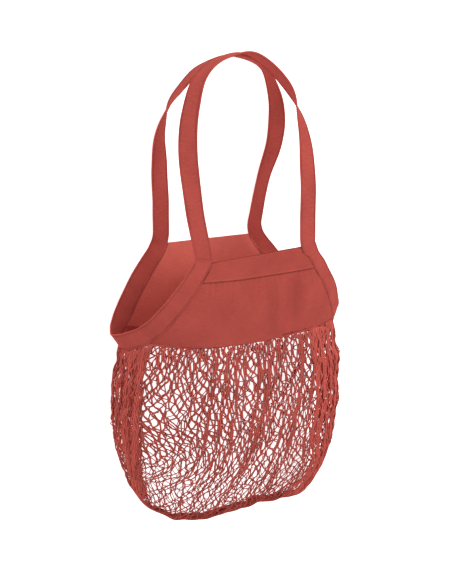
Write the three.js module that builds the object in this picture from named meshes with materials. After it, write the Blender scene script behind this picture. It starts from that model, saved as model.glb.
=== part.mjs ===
// Mesh market bag lying on its back: a knitted net pouch sewn under two woven panels, and one loop of
// flat tape that binds both side scoops and makes both handles.
// Millimetres, +Z up. +Y runs from the bag's bottom to its handles and +X to the bag's right as seen
// from the front, which faces up. The origin is on the floor under the middle of the whole outline.

import * as THREE from 'three';

// ---------------------------------------------------------------- driving dimensions

const OUTLINE_SHIFT = 1; // from the route's x = 0 to the middle of the whole outline

const TAPE_WIDTH = 25;
const TAPE_THICKNESS = 1.8;
const TAPE_STEPS_PER_STATION = 4;

const SEWING_GAP = 0.8; // room between two pieces that are sewn edge to edge

const CLOTH_THICKNESS = 1.2;
const HEM_THICKNESS = 2.2;
const PANEL_COLUMNS = 20;
const PANEL_ROWS = 14;

const FRONT_DEPTH = 118.5; // height of the raised front above the floor at the middle of its seam
const SEAM_LEVEL = -38; // y of the seam between panel and net, at its middle
const SEAM_BOW_POWER = 3.2; // how far out the front seam keeps its height
const FLAT_SHARE = 0.66; // part of the back panel's half width that lies flat on the floor

const NET_THICKNESS = 2.4;
const NET_CELLS_ROUND = 30;
const NET_HALF_ROWS = 12;
const NET_KNOT_ACROSS = 0.24; // half width and half height of a knot, as parts of half a cell
const NET_KNOT_ALONG = 0.2;
const NET_BAND = 5; // height of the solid band along the net's top edge
const NET_RIM_REACH = 0.25; // part of the net's length in which the sewn edge's shape fades out

// The pouch's half widths, at its rim, swelling towards its middle and drawn in again at its bottom.
const RIM_HALF_WIDTH = 171;
const BELLY = { left: 82, right: 24 };
const BOTTOM_HALF_WIDTH = { left: 148, right: 170 };
const NARROWING_POWER = { left: 1.9, right: 3 };

// The pouch's section is rounder than an ellipse and flattened where it lies on the floor.
const SECTION_ACROSS_POWER = 0.86;
const SECTION_UP_POWER = 0.8;
const FLOOR_CONTACT = 0.07; // part of the height that the floor takes away
const CLOSING_POWER = 2.6; // how late the height closes on the bottom seam, and how roundly
const CLOSING_ROUNDNESS = 0.8;

const BOTTOM_LEVEL = -344.3; // y of the bottom seam at its middle
const BOTTOM_HEIGHT = 7.5; // both layers of net and the overlocked yarn between them
const BOTTOM_BAND = 6;
const CORNER_RISE = { left: 84, right: 16 }; // how far the seam's ends ride up from its middle
const CORNER_POWER = { left: 2.6, right: 11 }; // the higher, the later and sharper the rise

// ---------------------------------------------------------------- the tape's route

/** A station on a handle: the tape's middle, and how far its face has turned from flat to edge-on. */
function leg(side, x, y, z, turnDegrees) {
  const turn = THREE.MathUtils.degToRad(turnDegrees);
  const lift = side === 'front' ? -Math.sin(turn) : Math.sin(turn);
  return {
    middle: new THREE.Vector3(x, y, z),
    outward: new THREE.Vector3(-Math.cos(turn), 0, lift),
  };
}

/** A station on a scoop: the sewn edge of the tape, and the way from there to its free edge. */
function scoop(x, y, z, outX, outY, outZ) {
  const outward = new THREE.Vector3(outX, outY, outZ).normalize();
  const middle = new THREE.Vector3(x, y, z).addScaledVector(outward, TAPE_WIDTH / 2);
  return { middle, outward };
}

// Once round the loop: up the front handle's left leg, over, down its right leg, round the right
// scoop, up the back handle's right leg, over, down its left leg and round the left scoop.
const ROUTE = [
  leg('front', -82, 84, 121, 0),
  leg('front', -83, 120, 112, 4),
  leg('front', -83, 167, 98, 11),
  leg('front', -79, 219, 82, 30),
  leg('front', -65, 269, 65, 52),
  leg('front', -38, 314, 49, 72),
  leg('front', 2, 337, 41, 76),
  leg('front', 48, 340.5, 39, 82),
  leg('front', 91, 300, 56, 92),
  leg('front', 103, 249, 75, 150),
  leg('front', 99, 195, 94, 178),
  leg('front', 89, 143, 110, 181),
  leg('front', 81, 92, 121, 180),
  scoop(82, 71, 121, 0.86, 0.35, -0.36),
  scoop(97, 49, 119, 0.8, 0.42, -0.42),
  scoop(113, 28, 114, 0.74, 0.5, -0.44),
  scoop(128, 5, 107, 0.68, 0.6, -0.4),
  scoop(141, -15, 98, 0.6, 0.7, -0.36),
  scoop(153, -31, 87, 0.5, 0.8, -0.3),
  scoop(164, -40, 72, 0.45, 0.86, -0.2),
  scoop(171, -43, 55, 0.45, 0.88, -0.05),
  scoop(171, -41, 38, 0.48, 0.86, 0.05),
  scoop(161, -31, 22, 0.55, 0.82, 0.1),
  scoop(142, -12, 13, 0.62, 0.75, -0.05),
  scoop(126, 10, 10, 0.78, 0.6, -0.2),
  scoop(108, 36, 7, 0.88, 0.4, -0.15),
  scoop(90, 58, 4, 0.93, 0.25, -0.05),
  leg('back', 74, 92, 1.8, 180),
  leg('back', 72, 122, 3.2, 187),
  leg('back', 86, 173, 3.4, 188),
  leg('back', 104, 223, 5.4, 163),
  leg('back', 102, 275, 12.5, 118),
  leg('back', 82, 324, 13.5, 82),
  leg('back', 33, 341, 13.5, 90),
  leg('back', -17, 327, 13.5, 95),
  leg('back', -57, 292, 13.8, 88),
  leg('back', -80, 248, 10, 40),
  leg('back', -82, 194, 3.4, 6),
  leg('back', -82, 141, 1.8, 0),
  leg('back', -82, 97, 1.8, 0),
  scoop(-80, 76, 4, -0.95, 0.3, -0.1),
  scoop(-95, 58, 7, -0.93, 0.3, -0.18),
  scoop(-110, 39, 10, -0.92, 0.32, -0.28),
  scoop(-125, 16, 12, -0.88, 0.4, -0.3),
  scoop(-137, -4, 13, -0.78, 0.55, -0.2),
  scoop(-150, -19, 18, -0.62, 0.75, -0.05),
  scoop(-161, -30, 28, -0.56, 0.8, 0.05),
  scoop(-168, -36, 44, -0.52, 0.84, 0),
  scoop(-167, -36, 60, -0.47, 0.86, -0.15),
  scoop(-158, -31, 76, -0.42, 0.86, -0.3),
  scoop(-149, -23, 92, -0.45, 0.84, -0.35),
  scoop(-136, -10, 105, -0.52, 0.78, -0.32),
  scoop(-121, 8, 114, -0.62, 0.72, -0.25),
  scoop(-104, 29, 119, -0.72, 0.66, -0.15),
  scoop(-83, 55, 121, -0.85, 0.5, -0.1),
];

// Where each panel's corners lie on the route, counted in stations.
const FRONT = { leftTop: 54.85, leftFoot: 50, rightTop: 12.25, rightFoot: 18 };
const BACK = { leftTop: 39.4, leftFoot: 45, rightTop: 26.9, rightFoot: 22 };

const tapeMiddle = closedCurve(ROUTE.map((station) => station.middle));
const tapeOutward = closedCurve(ROUTE.map((station) => station.outward));

function closedCurve(points) {
  return new THREE.CatmullRomCurve3(points, true, 'catmullrom', 0.5);
}

/** The tape's cross-section at a station count: its middle, and unit vectors across and through it. */
function tapeFrame(station) {
  const t = THREE.MathUtils.euclideanModulo(station / ROUTE.length, 1);
  const middle = tapeMiddle.getPoint(t);
  const along = tapeMiddle.getTangent(t);
  const across = tapeOutward.getPoint(t);
  across.addScaledVector(along, -across.dot(along)).normalize();
  const through = new THREE.Vector3().crossVectors(along, across);
  return { middle, across, through };
}

/** A point just off the tape's sewn edge, where a panel or the net begins. */
function besideTape(station) {
  const { middle, across } = tapeFrame(station);
  return middle.addScaledVector(across, -(TAPE_WIDTH / 2 + SEWING_GAP));
}

// ---------------------------------------------------------------- helpers for closed meshes

/** Collects vertices and faces of one closed body, and turns the faces outwards at the end. */
class Body {
  constructor() {
    this.positions = [];
    this.triangles = [];
  }

  point(vector) {
    this.positions.push(vector.x, vector.y, vector.z);
    return this.positions.length / 3 - 1;
  }

  triangle(a, b, c) {
    this.triangles.push(a, b, c);
  }

  quad(a, b, c, d) {
    this.triangle(a, b, c);
    this.triangle(a, c, d);
  }

  corner(index) {
    return new THREE.Vector3().fromArray(this.positions, index * 3);
  }

  signedVolume() {
    let sum = 0;
    for (let i = 0; i < this.triangles.length; i += 3) {
      const [a, b, c] = this.triangles.slice(i, i + 3).map((index) => this.corner(index));
      sum += a.dot(b.cross(c)) / 6;
    }
    return sum;
  }

  geometry() {
    if (this.signedVolume() < 0) this.triangles.reverse();
    const geometry = new THREE.BufferGeometry();
    geometry.setAttribute('position', new THREE.Float32BufferAttribute(this.positions, 3));
    geometry.setIndex(this.triangles);
    geometry.computeVertexNormals();
    return geometry;
  }
}

/**
 * A sheet of cloth as a solid: a grid whose middle layer is surface(u, v). The outer face is smooth,
 * and where a hem is folded in, the inner face steps in by the second layer.
 */
function sheetSolid(surface, outwardSign, columns, rows) {
  const body = new Body();
  const step = 1e-3;
  const half = CLOTH_THICKNESS / 2;
  const grid = (depth) => {
    const corners = [];
    for (const v of rows) {
      for (let column = 0; column <= columns; column += 1) {
        const u = column / columns;
        const alongU = surface(Math.min(u + step, 1), v).sub(surface(Math.max(u - step, 0), v));
        const alongV = surface(u, Math.min(v + step, 1)).sub(surface(u, Math.max(v - step, 0)));
        const normal = alongV.cross(alongU).normalize();
        corners.push(body.point(surface(u, v).addScaledVector(normal, outwardSign * depth(v))));
      }
    }
    return corners;
  };
  const faces = [grid(() => half), grid((v) => half - clothThickness(v))];
  const width = columns + 1;
  const height = rows.length;
  for (let row = 0; row < height - 1; row += 1) {
    for (let column = 0; column < columns; column += 1) {
      const corner = row * width + column;
      const ring = [corner, corner + width, corner + width + 1, corner + 1];
      body.quad(...ring.map((index) => faces[0][index]));
      body.quad(...ring.reverse().map((index) => faces[1][index]));
    }
  }
  const border = [];
  for (let column = 0; column < columns; column += 1) border.push(column);
  for (let row = 0; row < height - 1; row += 1) border.push(row * width + columns);
  for (let column = columns; column > 0; column -= 1) border.push((height - 1) * width + column);
  for (let row = height - 1; row > 0; row -= 1) border.push(row * width);
  border.forEach((index, place) => {
    const next = border[(place + 1) % border.length];
    body.quad(faces[0][index], faces[0][next], faces[1][next], faces[1][index]);
  });
  return body.geometry();
}

// ---------------------------------------------------------------- tape

function tapeGeometry() {
  const body = new Body();
  const count = ROUTE.length * TAPE_STEPS_PER_STATION;
  const sections = [];
  for (let step = 0; step < count; step += 1) {
    const { middle, across, through } = tapeFrame(step / TAPE_STEPS_PER_STATION);
    const corners = [
      [1, 1],
      [-1, 1],
      [-1, -1],
      [1, -1],
    ];
    sections.push(
      corners.map(([a, b]) =>
        body.point(
          middle
            .clone()
            .addScaledVector(across, (a * TAPE_WIDTH) / 2)
            .addScaledVector(through, (b * TAPE_THICKNESS) / 2),
        ),
      ),
    );
  }
  sections.forEach((section, index) => {
    const next = sections[(index + 1) % count];
    for (let side = 0; side < 4; side += 1) {
      const other = (side + 1) % 4;
      body.quad(section[side], section[other], next[other], next[side]);
    }
  });
  return body.geometry();
}

// ---------------------------------------------------------------- woven panels

/** The front panel's lower edge, from the left scoop to the right one, bowed up over the opening. */
function frontSeam(u) {
  const left = besideTape(FRONT.leftFoot);
  const right = besideTape(FRONT.rightFoot);
  const offCentre = Math.abs(2 * u - 1);
  const edge = left.lerp(right, u);
  const middle = new THREE.Vector3(edge.x, SEAM_LEVEL, FRONT_DEPTH);
  edge.y += (middle.y - edge.y) * (1 - offCentre ** 2);
  edge.z += (middle.z - edge.z) * (1 - offCentre ** SEAM_BOW_POWER);
  return edge;
}

/** The back panel's lower edge: flat on the floor, and turned up a little at the scoops. */
function backSeam(u) {
  const left = besideTape(BACK.leftFoot);
  const right = besideTape(BACK.rightFoot);
  const offCentre = Math.abs(2 * u - 1);
  const edge = left.lerp(right, u);
  edge.y += (SEAM_LEVEL - edge.y) * (1 - offCentre ** 2);
  edge.z = CLOTH_THICKNESS / 2 + (edge.z - CLOTH_THICKNESS / 2) * turnUp(u);
  return edge;
}

/** 1 at either side edge of a panel, falling to 0 about a sixth of the way in. */
function turnUp(u) {
  return Math.max(0, (Math.abs(2 * u - 1) - FLAT_SHARE) / (1 - FLAT_SHARE)) ** 2;
}

/** A patch between a straight top edge, two edges that follow the tape, and a lower seam. */
function panelSurface(corners, seam) {
  return (u, v) => {
    const left = besideTape(corners.leftTop + (corners.leftFoot - corners.leftTop) * v);
    const right = besideTape(corners.rightTop + (corners.rightFoot - corners.rightTop) * v);
    const topLeft = besideTape(corners.leftTop);
    const topRight = besideTape(corners.rightTop);
    const ends = topLeft.clone().lerp(topRight, u).lerp(seam(u), v);
    const plain = topLeft.lerp(topRight, u).lerp(seam(0).lerp(seam(1), u), v);
    const bulge = left.lerp(right, u).sub(plain);
    bulge.z *= (2 * u - 1) ** 2;
    return ends.add(bulge);
  };
}

/** The back panel lies flat between its turned-up edges. */
function backSurface(u, v) {
  const point = panelSurface(BACK, backSeam)(u, v);
  const left = besideTape(BACK.leftTop + (BACK.leftFoot - BACK.leftTop) * v);
  const right = besideTape(BACK.rightTop + (BACK.rightFoot - BACK.rightTop) * v);
  const lift = (u < 0.5 ? left.z : right.z) - CLOTH_THICKNESS / 2;
  point.z = CLOTH_THICKNESS / 2 + Math.max(0, lift) * turnUp(u);
  return point;
}

const HEM_SHARE = 0.22; // part of the panel's height, at its middle, that the hem takes
const HEM_STEP = 0.02; // part of the height in which the hem's second layer ends

function clothThickness(v) {
  return v <= HEM_SHARE ? HEM_THICKNESS : CLOTH_THICKNESS;
}

/** Rows of the panel's grid, with a close pair where the folded hem ends. */
function panelRows() {
  const rows = [0, HEM_SHARE / 2, HEM_SHARE];
  const first = HEM_SHARE + HEM_STEP;
  for (let row = 0; row <= PANEL_ROWS; row += 1) rows.push(first + ((1 - first) * row) / PANEL_ROWS);
  return rows;
}

function panelGeometry(surface, outwardSign) {
  return sheetSolid(surface, outwardSign, PANEL_COLUMNS, panelRows());
}

// ---------------------------------------------------------------- net pouch

/** The sewn top edge of the net as a closed curve of many points, starting at the right side. */
function netRim() {
  const drop = new THREE.Vector3(0, -SEWING_GAP - CLOTH_THICKNESS / 2, 0);
  const samples = 24;
  const points = [];
  const add = (count, place) => {
    for (let i = 0; i < count; i += 1) points.push(place(i / count).add(drop));
  };
  const right = (FRONT.rightFoot + BACK.rightFoot) / 2;
  const left = (FRONT.leftFoot + BACK.leftFoot) / 2;
  add(samples / 3, (t) => besideTape(right + (FRONT.rightFoot - right) * t));
  add(samples * 2, (t) => frontSeam(1 - t));
  add(samples / 3, (t) => besideTape(FRONT.leftFoot + (left - FRONT.leftFoot) * t));
  add(samples / 3, (t) => besideTape(left + (BACK.leftFoot - left) * t));
  add(samples * 2, (t) => backSeam(t));
  add(samples / 3, (t) => besideTape(BACK.rightFoot + (right - BACK.rightFoot) * t));
  return points;
}

/**
 * Half the pouch's width at a part v of the way from the rim to the bottom seam. The left side and
 * the right one hang differently, and across goes from -1 to 1 between them.
 */
function netHalfWidth(across, v) {
  const between = ({ left, right }) => THREE.MathUtils.lerp(left, right, (1 + across) / 2);
  const narrowing = RIM_HALF_WIDTH + between(BELLY) - between(BOTTOM_HALF_WIDTH);
  return RIM_HALF_WIDTH + between(BELLY) * v - narrowing * v ** between(NARROWING_POWER);
}

/** The pouch's height above the floor at v: a full belly that closes on the bottom seam. */
function netHeight(v) {
  const closing = (1 - v ** CLOSING_POWER) ** CLOSING_ROUNDNESS;
  return BOTTOM_HEIGHT + (FRONT_DEPTH - BOTTOM_HEIGHT) * closing;
}

function bottomLevel(across) {
  const side = across < 0 ? 'left' : 'right';
  return BOTTOM_LEVEL + CORNER_RISE[side] * Math.abs(across) ** CORNER_POWER[side];
}

/** The section's parts across and up: angle 0 at the right side, 90 degrees at the raised front. */
function sectionPoint(angle) {
  const cos = Math.cos(angle);
  const sin = Math.sin(angle);
  const across = Math.sign(cos) * Math.abs(cos) ** SECTION_ACROSS_POWER;
  const dome = (1 + Math.sign(sin) * Math.abs(sin) ** SECTION_UP_POWER) / 2;
  return { across, up: Math.max(0, (dome - FLOOR_CONTACT) / (1 - FLOOR_CONTACT)) };
}

/** One skin of the pouch; side is 1 for the outer skin and -1 for the inner one. */
function netPoint(angle, v, side, rim) {
  const wall = (side * NET_THICKNESS) / 2;
  const { across, up } = sectionPoint(angle);
  const outline = (part) => ({
    x: (netHalfWidth(across, part) + wall) * across,
    z: (netHeight(part) + 2 * wall) * up,
  });
  const here = outline(v);
  const start = outline(0);
  const floor = NET_THICKNESS / 2 - wall;
  const fade = Math.max(0, 1 - v / NET_RIM_REACH) ** 2;
  const edge = rimAt(rim, angle);
  const outwards = new THREE.Vector3(Math.cos(angle) * wall, 0, Math.sin(angle) * wall);
  edge.add(outwards);
  const y = edge.y + (bottomLevel(across) - edge.y) * v;
  const x = here.x + (edge.x - start.x) * fade;
  const z = here.z + floor + (edge.z - start.z - floor) * fade;
  return new THREE.Vector3(x, y, Math.max(z, floor));
}

function rimAt(rim, angle) {
  const front = Math.sin(angle) >= 0;
  return rim[front ? 'front' : 'back'](sectionPoint(angle).across);
}

/** Splits the rim into its front and back halves, each looked up by its place across the bag. */
function rimLookup() {
  const points = netRim();
  const widest = Math.max(...points.map((point) => Math.abs(point.x)));
  const leftmost = points.reduce((best, point, i) => (point.x < points[best].x ? i : best), 0);
  const rightmost = points.reduce((best, point, i) => (point.x > points[best].x ? i : best), 0);
  const half = (from, to) => {
    const list = [];
    for (let i = from; i !== to; i = (i + 1) % points.length) list.push(points[i]);
    list.push(points[to]);
    return list;
  };
  const lookup = (list) => {
    const ordered = [...list].sort((a, b) => a.x - b.x);
    return (across) => {
      const x = THREE.MathUtils.clamp(across * widest, ordered[0].x, ordered[ordered.length - 1].x);
      const above = Math.max(1, ordered.findIndex((point) => point.x >= x));
      const [low, high] = [ordered[above - 1], ordered[above]];
      const part = (x - low.x) / Math.max(high.x - low.x, 1e-6);
      return low.clone().lerp(high, part);
    };
  };
  return { front: lookup(half(rightmost, leftmost)), back: lookup(half(leftmost, rightmost)) };
}

/** Diamond net: knots where column + row is even, open cells where it is odd. */
function netGeometry() {
  const body = new Body();
  const rim = rimLookup();
  const columns = NET_CELLS_ROUND * 2;
  const known = new Map();
  const length = Math.abs(BOTTOM_LEVEL - SEAM_LEVEL);
  const topBand = NET_BAND / length;
  const bottomBand = BOTTOM_BAND / length;
  const along = (row) => topBand + (1 - topBand - bottomBand) * (row / NET_HALF_ROWS);

  const vertex = (column, v, side) => {
    const place = THREE.MathUtils.euclideanModulo(column, columns);
    const key = `${place.toFixed(4)} ${v.toFixed(6)} ${side}`;
    if (!known.has(key)) {
      const angle = (place / columns) * 2 * Math.PI;
      known.set(key, body.point(netPoint(angle, v, side, rim)));
    }
    return known.get(key);
  };
  const knot = (column, row, side) => ({
    west: vertex(column - NET_KNOT_ACROSS, along(row), side),
    east: vertex(column + NET_KNOT_ACROSS, along(row), side),
    north: row > 0 ? vertex(column, along(row - NET_KNOT_ALONG), side) : null,
    south: row < NET_HALF_ROWS ? vertex(column, along(row + NET_KNOT_ALONG), side) : null,
  });
  const face = (side, ...ring) => {
    const turned = side > 0 ? ring : ring.reverse();
    if (turned.length === 3) body.triangle(...turned);
    else body.quad(...turned);
  };

  for (const side of [1, -1]) {
    for (let row = 0; row <= NET_HALF_ROWS; row += 1) {
      for (let column = row % 2; column < columns; column += 2) {
        const here = knot(column, row, side);
        if (here.north !== null) face(side, here.west, here.east, here.north);
        if (here.south !== null) {
          face(side, here.west, here.south, here.east);
          const right = knot(column + 1, row + 1, side);
          const left = knot(column - 1, row + 1, side);
          face(side, here.south, right.west, right.north, here.east);
          face(side, here.west, left.north, left.east, here.south);
        }
      }
    }
  }

  const wall = (ring) => {
    ring.outer.forEach((corner, index) => {
      const next = (index + 1) % ring.outer.length;
      body.quad(corner, ring.outer[next], ring.inner[next], ring.inner[index]);
    });
  };
  const cell = (column, row, side) => {
    const ring = [knot(column - 1, row, side).east];
    if (row < NET_HALF_ROWS) ring.push(knot(column, row + 1, side).north);
    ring.push(knot(column + 1, row, side).west);
    if (row > 0) ring.push(knot(column, row - 1, side).south);
    return ring;
  };
  for (let row = 0; row <= NET_HALF_ROWS; row += 1) {
    for (let column = 1 - (row % 2); column < columns; column += 2) {
      wall({ outer: cell(column, row, 1), inner: cell(column, row, -1) });
    }
  }

  // The solid band along the sewn top edge, and the one along the bottom seam.
  const bandLine = (row, v, side) => {
    const line = [];
    for (let column = row % 2; column < columns; column += 2) {
      line.push(vertex(column - NET_KNOT_ACROSS, v, side));
      line.push(vertex(column + NET_KNOT_ACROSS, v, side));
    }
    return line;
  };
  const band = (upper, lower, side) => {
    upper.forEach((corner, index) => {
      const next = (index + 1) % upper.length;
      face(side, corner, lower[index], lower[next], upper[next]);
    });
  };
  const last = NET_HALF_ROWS;
  const ends = {};
  for (const side of [1, -1]) {
    const top = bandLine(0, 0, side);
    const bottomEdge = side > 0 ? 1 : 1 - bottomBand / 2;
    const bottom = bandLine(last, bottomEdge, side);
    band(top, bandLine(0, along(0), side), side);
    band(bandLine(last, along(last), side), bottom, side);
    ends[side] = { top, bottom };
  }
  band(ends[-1].top, ends[1].top, 1);
  for (const side of [1, -1]) closeBottom(body, ends[side].bottom, side);
  return body.geometry();
}

/** Joins the front and back halves of a ring of band corners across the flat bottom of the pouch. */
function closeBottom(body, ring, side) {
  const count = ring.length;
  const mirrored = (index) => (((1 - index) % count) + count) % count;
  for (let index = 1; index < count / 2; index += 1) {
    const corners = [ring[index], ring[mirrored(index)], ring[mirrored(index + 1)], ring[index + 1]];
    const distinct = corners.filter((corner, place) => corners.indexOf(corner) === place);
    if (side < 0) distinct.reverse();
    if (distinct.length === 4) body.quad(...distinct);
    else if (distinct.length === 3) body.triangle(...distinct);
  }
}

// ---------------------------------------------------------------- the bag

function piece(name, geometry, color, roughness) {
  geometry.translate(OUTLINE_SHIFT, 0, 0);
  const material = new THREE.MeshStandardMaterial({ color, roughness, metalness: 0 });
  const mesh = new THREE.Mesh(geometry, material);
  mesh.name = name;
  return mesh;
}

const bag = new THREE.Group();
bag.name = 'mesh_market_bag';
bag.add(piece('tape', tapeGeometry(), 0xa94b42, 0.92));
bag.add(piece('panel_front', panelGeometry(panelSurface(FRONT, frontSeam), 1), 0xab4c45, 0.94));
bag.add(piece('panel_back', panelGeometry(backSurface, -1), 0xb35348, 0.94));
bag.add(piece('net', netGeometry(), 0xb05447, 0.95));

export default bag;
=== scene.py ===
"""Looks of a mesh market bag that lies on its back with its front panel up.

The bag is sewn from five things: one loop of folded cotton tape that binds both side scoops and makes
both handles, a front and a back panel of woven canvas, a knitted net pouch with its edging, and the
thread. The classes below make them around the fixed frame, in metres: +Y runs from the bag's bottom to
its handles, +X to the bag's right as its front is seen, and +Z up from the floor.
"""

import logging
import math
from dataclasses import dataclass
from enum import Enum
from typing import Callable, Sequence

import bmesh
import bpy
import numpy as np
from mathutils import Matrix, Vector

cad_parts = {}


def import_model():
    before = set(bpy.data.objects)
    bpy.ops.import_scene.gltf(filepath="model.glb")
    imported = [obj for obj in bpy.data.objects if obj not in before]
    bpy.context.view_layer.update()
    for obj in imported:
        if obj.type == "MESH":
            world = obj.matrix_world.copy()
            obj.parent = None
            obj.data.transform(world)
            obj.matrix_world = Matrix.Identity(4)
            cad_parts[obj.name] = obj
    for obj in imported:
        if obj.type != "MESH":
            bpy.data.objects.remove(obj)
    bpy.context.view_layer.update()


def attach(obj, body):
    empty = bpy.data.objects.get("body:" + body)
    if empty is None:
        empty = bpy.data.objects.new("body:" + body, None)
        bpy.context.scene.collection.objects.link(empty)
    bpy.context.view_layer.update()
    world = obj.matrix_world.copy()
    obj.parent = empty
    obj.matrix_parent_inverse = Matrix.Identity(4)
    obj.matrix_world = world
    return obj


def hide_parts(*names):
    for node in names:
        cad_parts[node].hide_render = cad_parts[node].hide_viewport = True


LOG = logging.getLogger("mesh_market_bag")

Array = np.ndarray
Colour = tuple[float, float, float]
Surface = Callable[[Array, Array], Array]

BODY = "root"
CLOTH_MAP = "cloth"  # the UV map that holds each sheet's flat coordinates, in metres
SEWING_MAP = "sewing"  # the UV map that holds how far the cloth's edge and its stitching are
YARN_MAP = "yarn"  # the UV map that holds the share round a yarn and the metres along it
LOWEST_YARN = 0.0009  # the least height of the middle of a yarn of the net
YARN_SIDES = 6  # faces round a yarn of the net
THREAD_SIDES = 4  # faces round the sewing thread
SHEET_WELD = 2e-6  # points of a rolled-up sheet that are closer are made one
YARN_WELD = 1e-6  # the same for a rolled-up yarn
SLOPE_STEP = 2e-3  # the step over which a surface's slopes are taken, as a share of the surface
SHORTEST = 1e-12  # keeps a division by a vector's length defined
MILLIMETRES = 1000  # in a metre


# ---- small maths


def unit(vectors: Array) -> Array:
    """Scale each vector of an array to a length of one."""
    return vectors / np.maximum(np.linalg.norm(vectors, axis=-1, keepdims=True), SHORTEST)


def walked(points: Array) -> Array:
    """Give how far along a line each of its points lies."""
    return np.concatenate([[0], np.cumsum(np.linalg.norm(np.diff(points, axis=0), axis=1))])


def mix(low: Array, high: Array, share: Array) -> Array:
    """Go from low to high by each point's share.

    Args:
        low: Points at share 0.
        high: Points at share 1.
        share: One number for each point.

    Returns:
        The points between.
    """
    return low + (high - low) * share[..., None]


def ramp(value: Array, start: float, end: float) -> Array:
    """Rise smoothly from 0 at start to 1 at end."""
    share = np.clip((value - start) / (end - start), 0, 1)
    return share * share * (3 - 2 * share)


def bell(value: Array, centre: float, width: float) -> Array:
    """Give 1 at the centre, falling away over the width on both sides."""
    return np.exp(-(((value - centre) / width) ** 2))


def look_up(table: Array, down: Array, across: Array) -> Array:
    """Read a table between its entries.

    Args:
        table: Numbers in rows and columns.
        down: Shares of the way down the table.
        across: Shares of the way across it.

    Returns:
        The numbers there.
    """
    rows, columns = table.shape
    y, x = np.clip(down, 0, 1) * (rows - 1), np.clip(across, 0, 1) * (columns - 1)
    row = np.minimum(y.astype(int), rows - 2)
    column = np.minimum(x.astype(int), columns - 2)
    upper = table[row, column] * (1 - x + column) + table[row, column + 1] * (x - column)
    lower = table[row + 1, column] * (1 - x + column) + table[row + 1, column + 1] * (x - column)
    return upper * (1 - y + row) + lower * (y - row)


def surface_normals(surface: Surface, u: Array, v: Array) -> Array:
    """Work out a surface's normals from its slopes.

    Args:
        surface: Gives points for shares u and v.
        u: Shares across the surface.
        v: Shares along the surface.

    Returns:
        One unit normal for each pair of shares.
    """
    before_u, after_u = np.maximum(u - SLOPE_STEP, 0), np.minimum(u + SLOPE_STEP, 1)
    before_v, after_v = np.maximum(v - SLOPE_STEP, 0), np.minimum(v + SLOPE_STEP, 1)
    across = surface(after_u, v) - surface(before_u, v)
    along = surface(u, after_v) - surface(u, before_v)
    return unit(np.cross(across, along))


@dataclass(frozen=True)
class Ripple:
    """Smooth seeded unevenness on a plane: a sum of waves in random directions.

    Attributes:
        seed: Fixes the draw.
        wavelength: The middle wavelength, in the plane's own unit.
        waves: How many waves are summed.
        spread: How far the wavelengths differ, as a natural logarithm.
    """

    seed: int
    wavelength: float
    waves: int = 16
    spread: float = 0.45

    def __call__(self, x: Array, y: Array) -> Array:
        """Give the unevenness at points of the plane, with a mean square of about one.

        Args:
            x: Places along the plane's first axis.
            y: Places along its second axis.

        Returns:
            One number for each place.
        """
        draw = np.random.default_rng(self.seed)
        heading = draw.uniform(0, 2 * math.pi, self.waves)
        length = self.wavelength * np.exp(draw.uniform(-self.spread, self.spread, self.waves))
        phase = draw.uniform(0, 2 * math.pi, self.waves)
        total = np.zeros(np.broadcast(x, y).shape)
        for angle, wave, start in zip(heading, length, phase):
            way = x * math.cos(angle) + y * math.sin(angle)
            total += np.sin(2 * math.pi * way / wave + start)
        return total / math.sqrt(self.waves / 2)


# ---- tape's route


class Side(Enum):
    """The two faces of the bag; the value is the sign of the turn of a handle's tape."""

    FRONT = -1
    BACK = 1


@dataclass(frozen=True)
class Station:
    """A point of the tape's route.

    Attributes:
        middle: The tape's middle.
        outward: The way from its sewn edge to its free edge.
    """

    middle: tuple[float, float, float]
    outward: tuple[float, float, float]


TAPE_WIDTH = 0.025
OUTLINE_SHIFT = 0.001  # from the route's x = 0 to the middle of the whole outline


def leg(side: Side, x: float, y: float, z: float, turn_degrees: float) -> Station:
    """Give a station on a handle, whose face has turned from flat towards edge-on."""
    turn = math.radians(turn_degrees)
    return Station((x, y, z), (-math.cos(turn), 0.0, side.value * math.sin(turn)))


def scoop(x: float, y: float, z: float, out_x: float, out_y: float, out_z: float) -> Station:
    """Give a station on a scoop from the tape's sewn edge and the way to its free edge.

    Args:
        x, y, z: The tape's sewn edge.
        out_x, out_y, out_z: The way from it to the free edge, of any length.

    Returns:
        The station.
    """
    outward = Vector((out_x, out_y, out_z)).normalized()
    middle = Vector((x, y, z)) + outward * TAPE_WIDTH / 2
    return Station(tuple(middle), tuple(outward))


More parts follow.
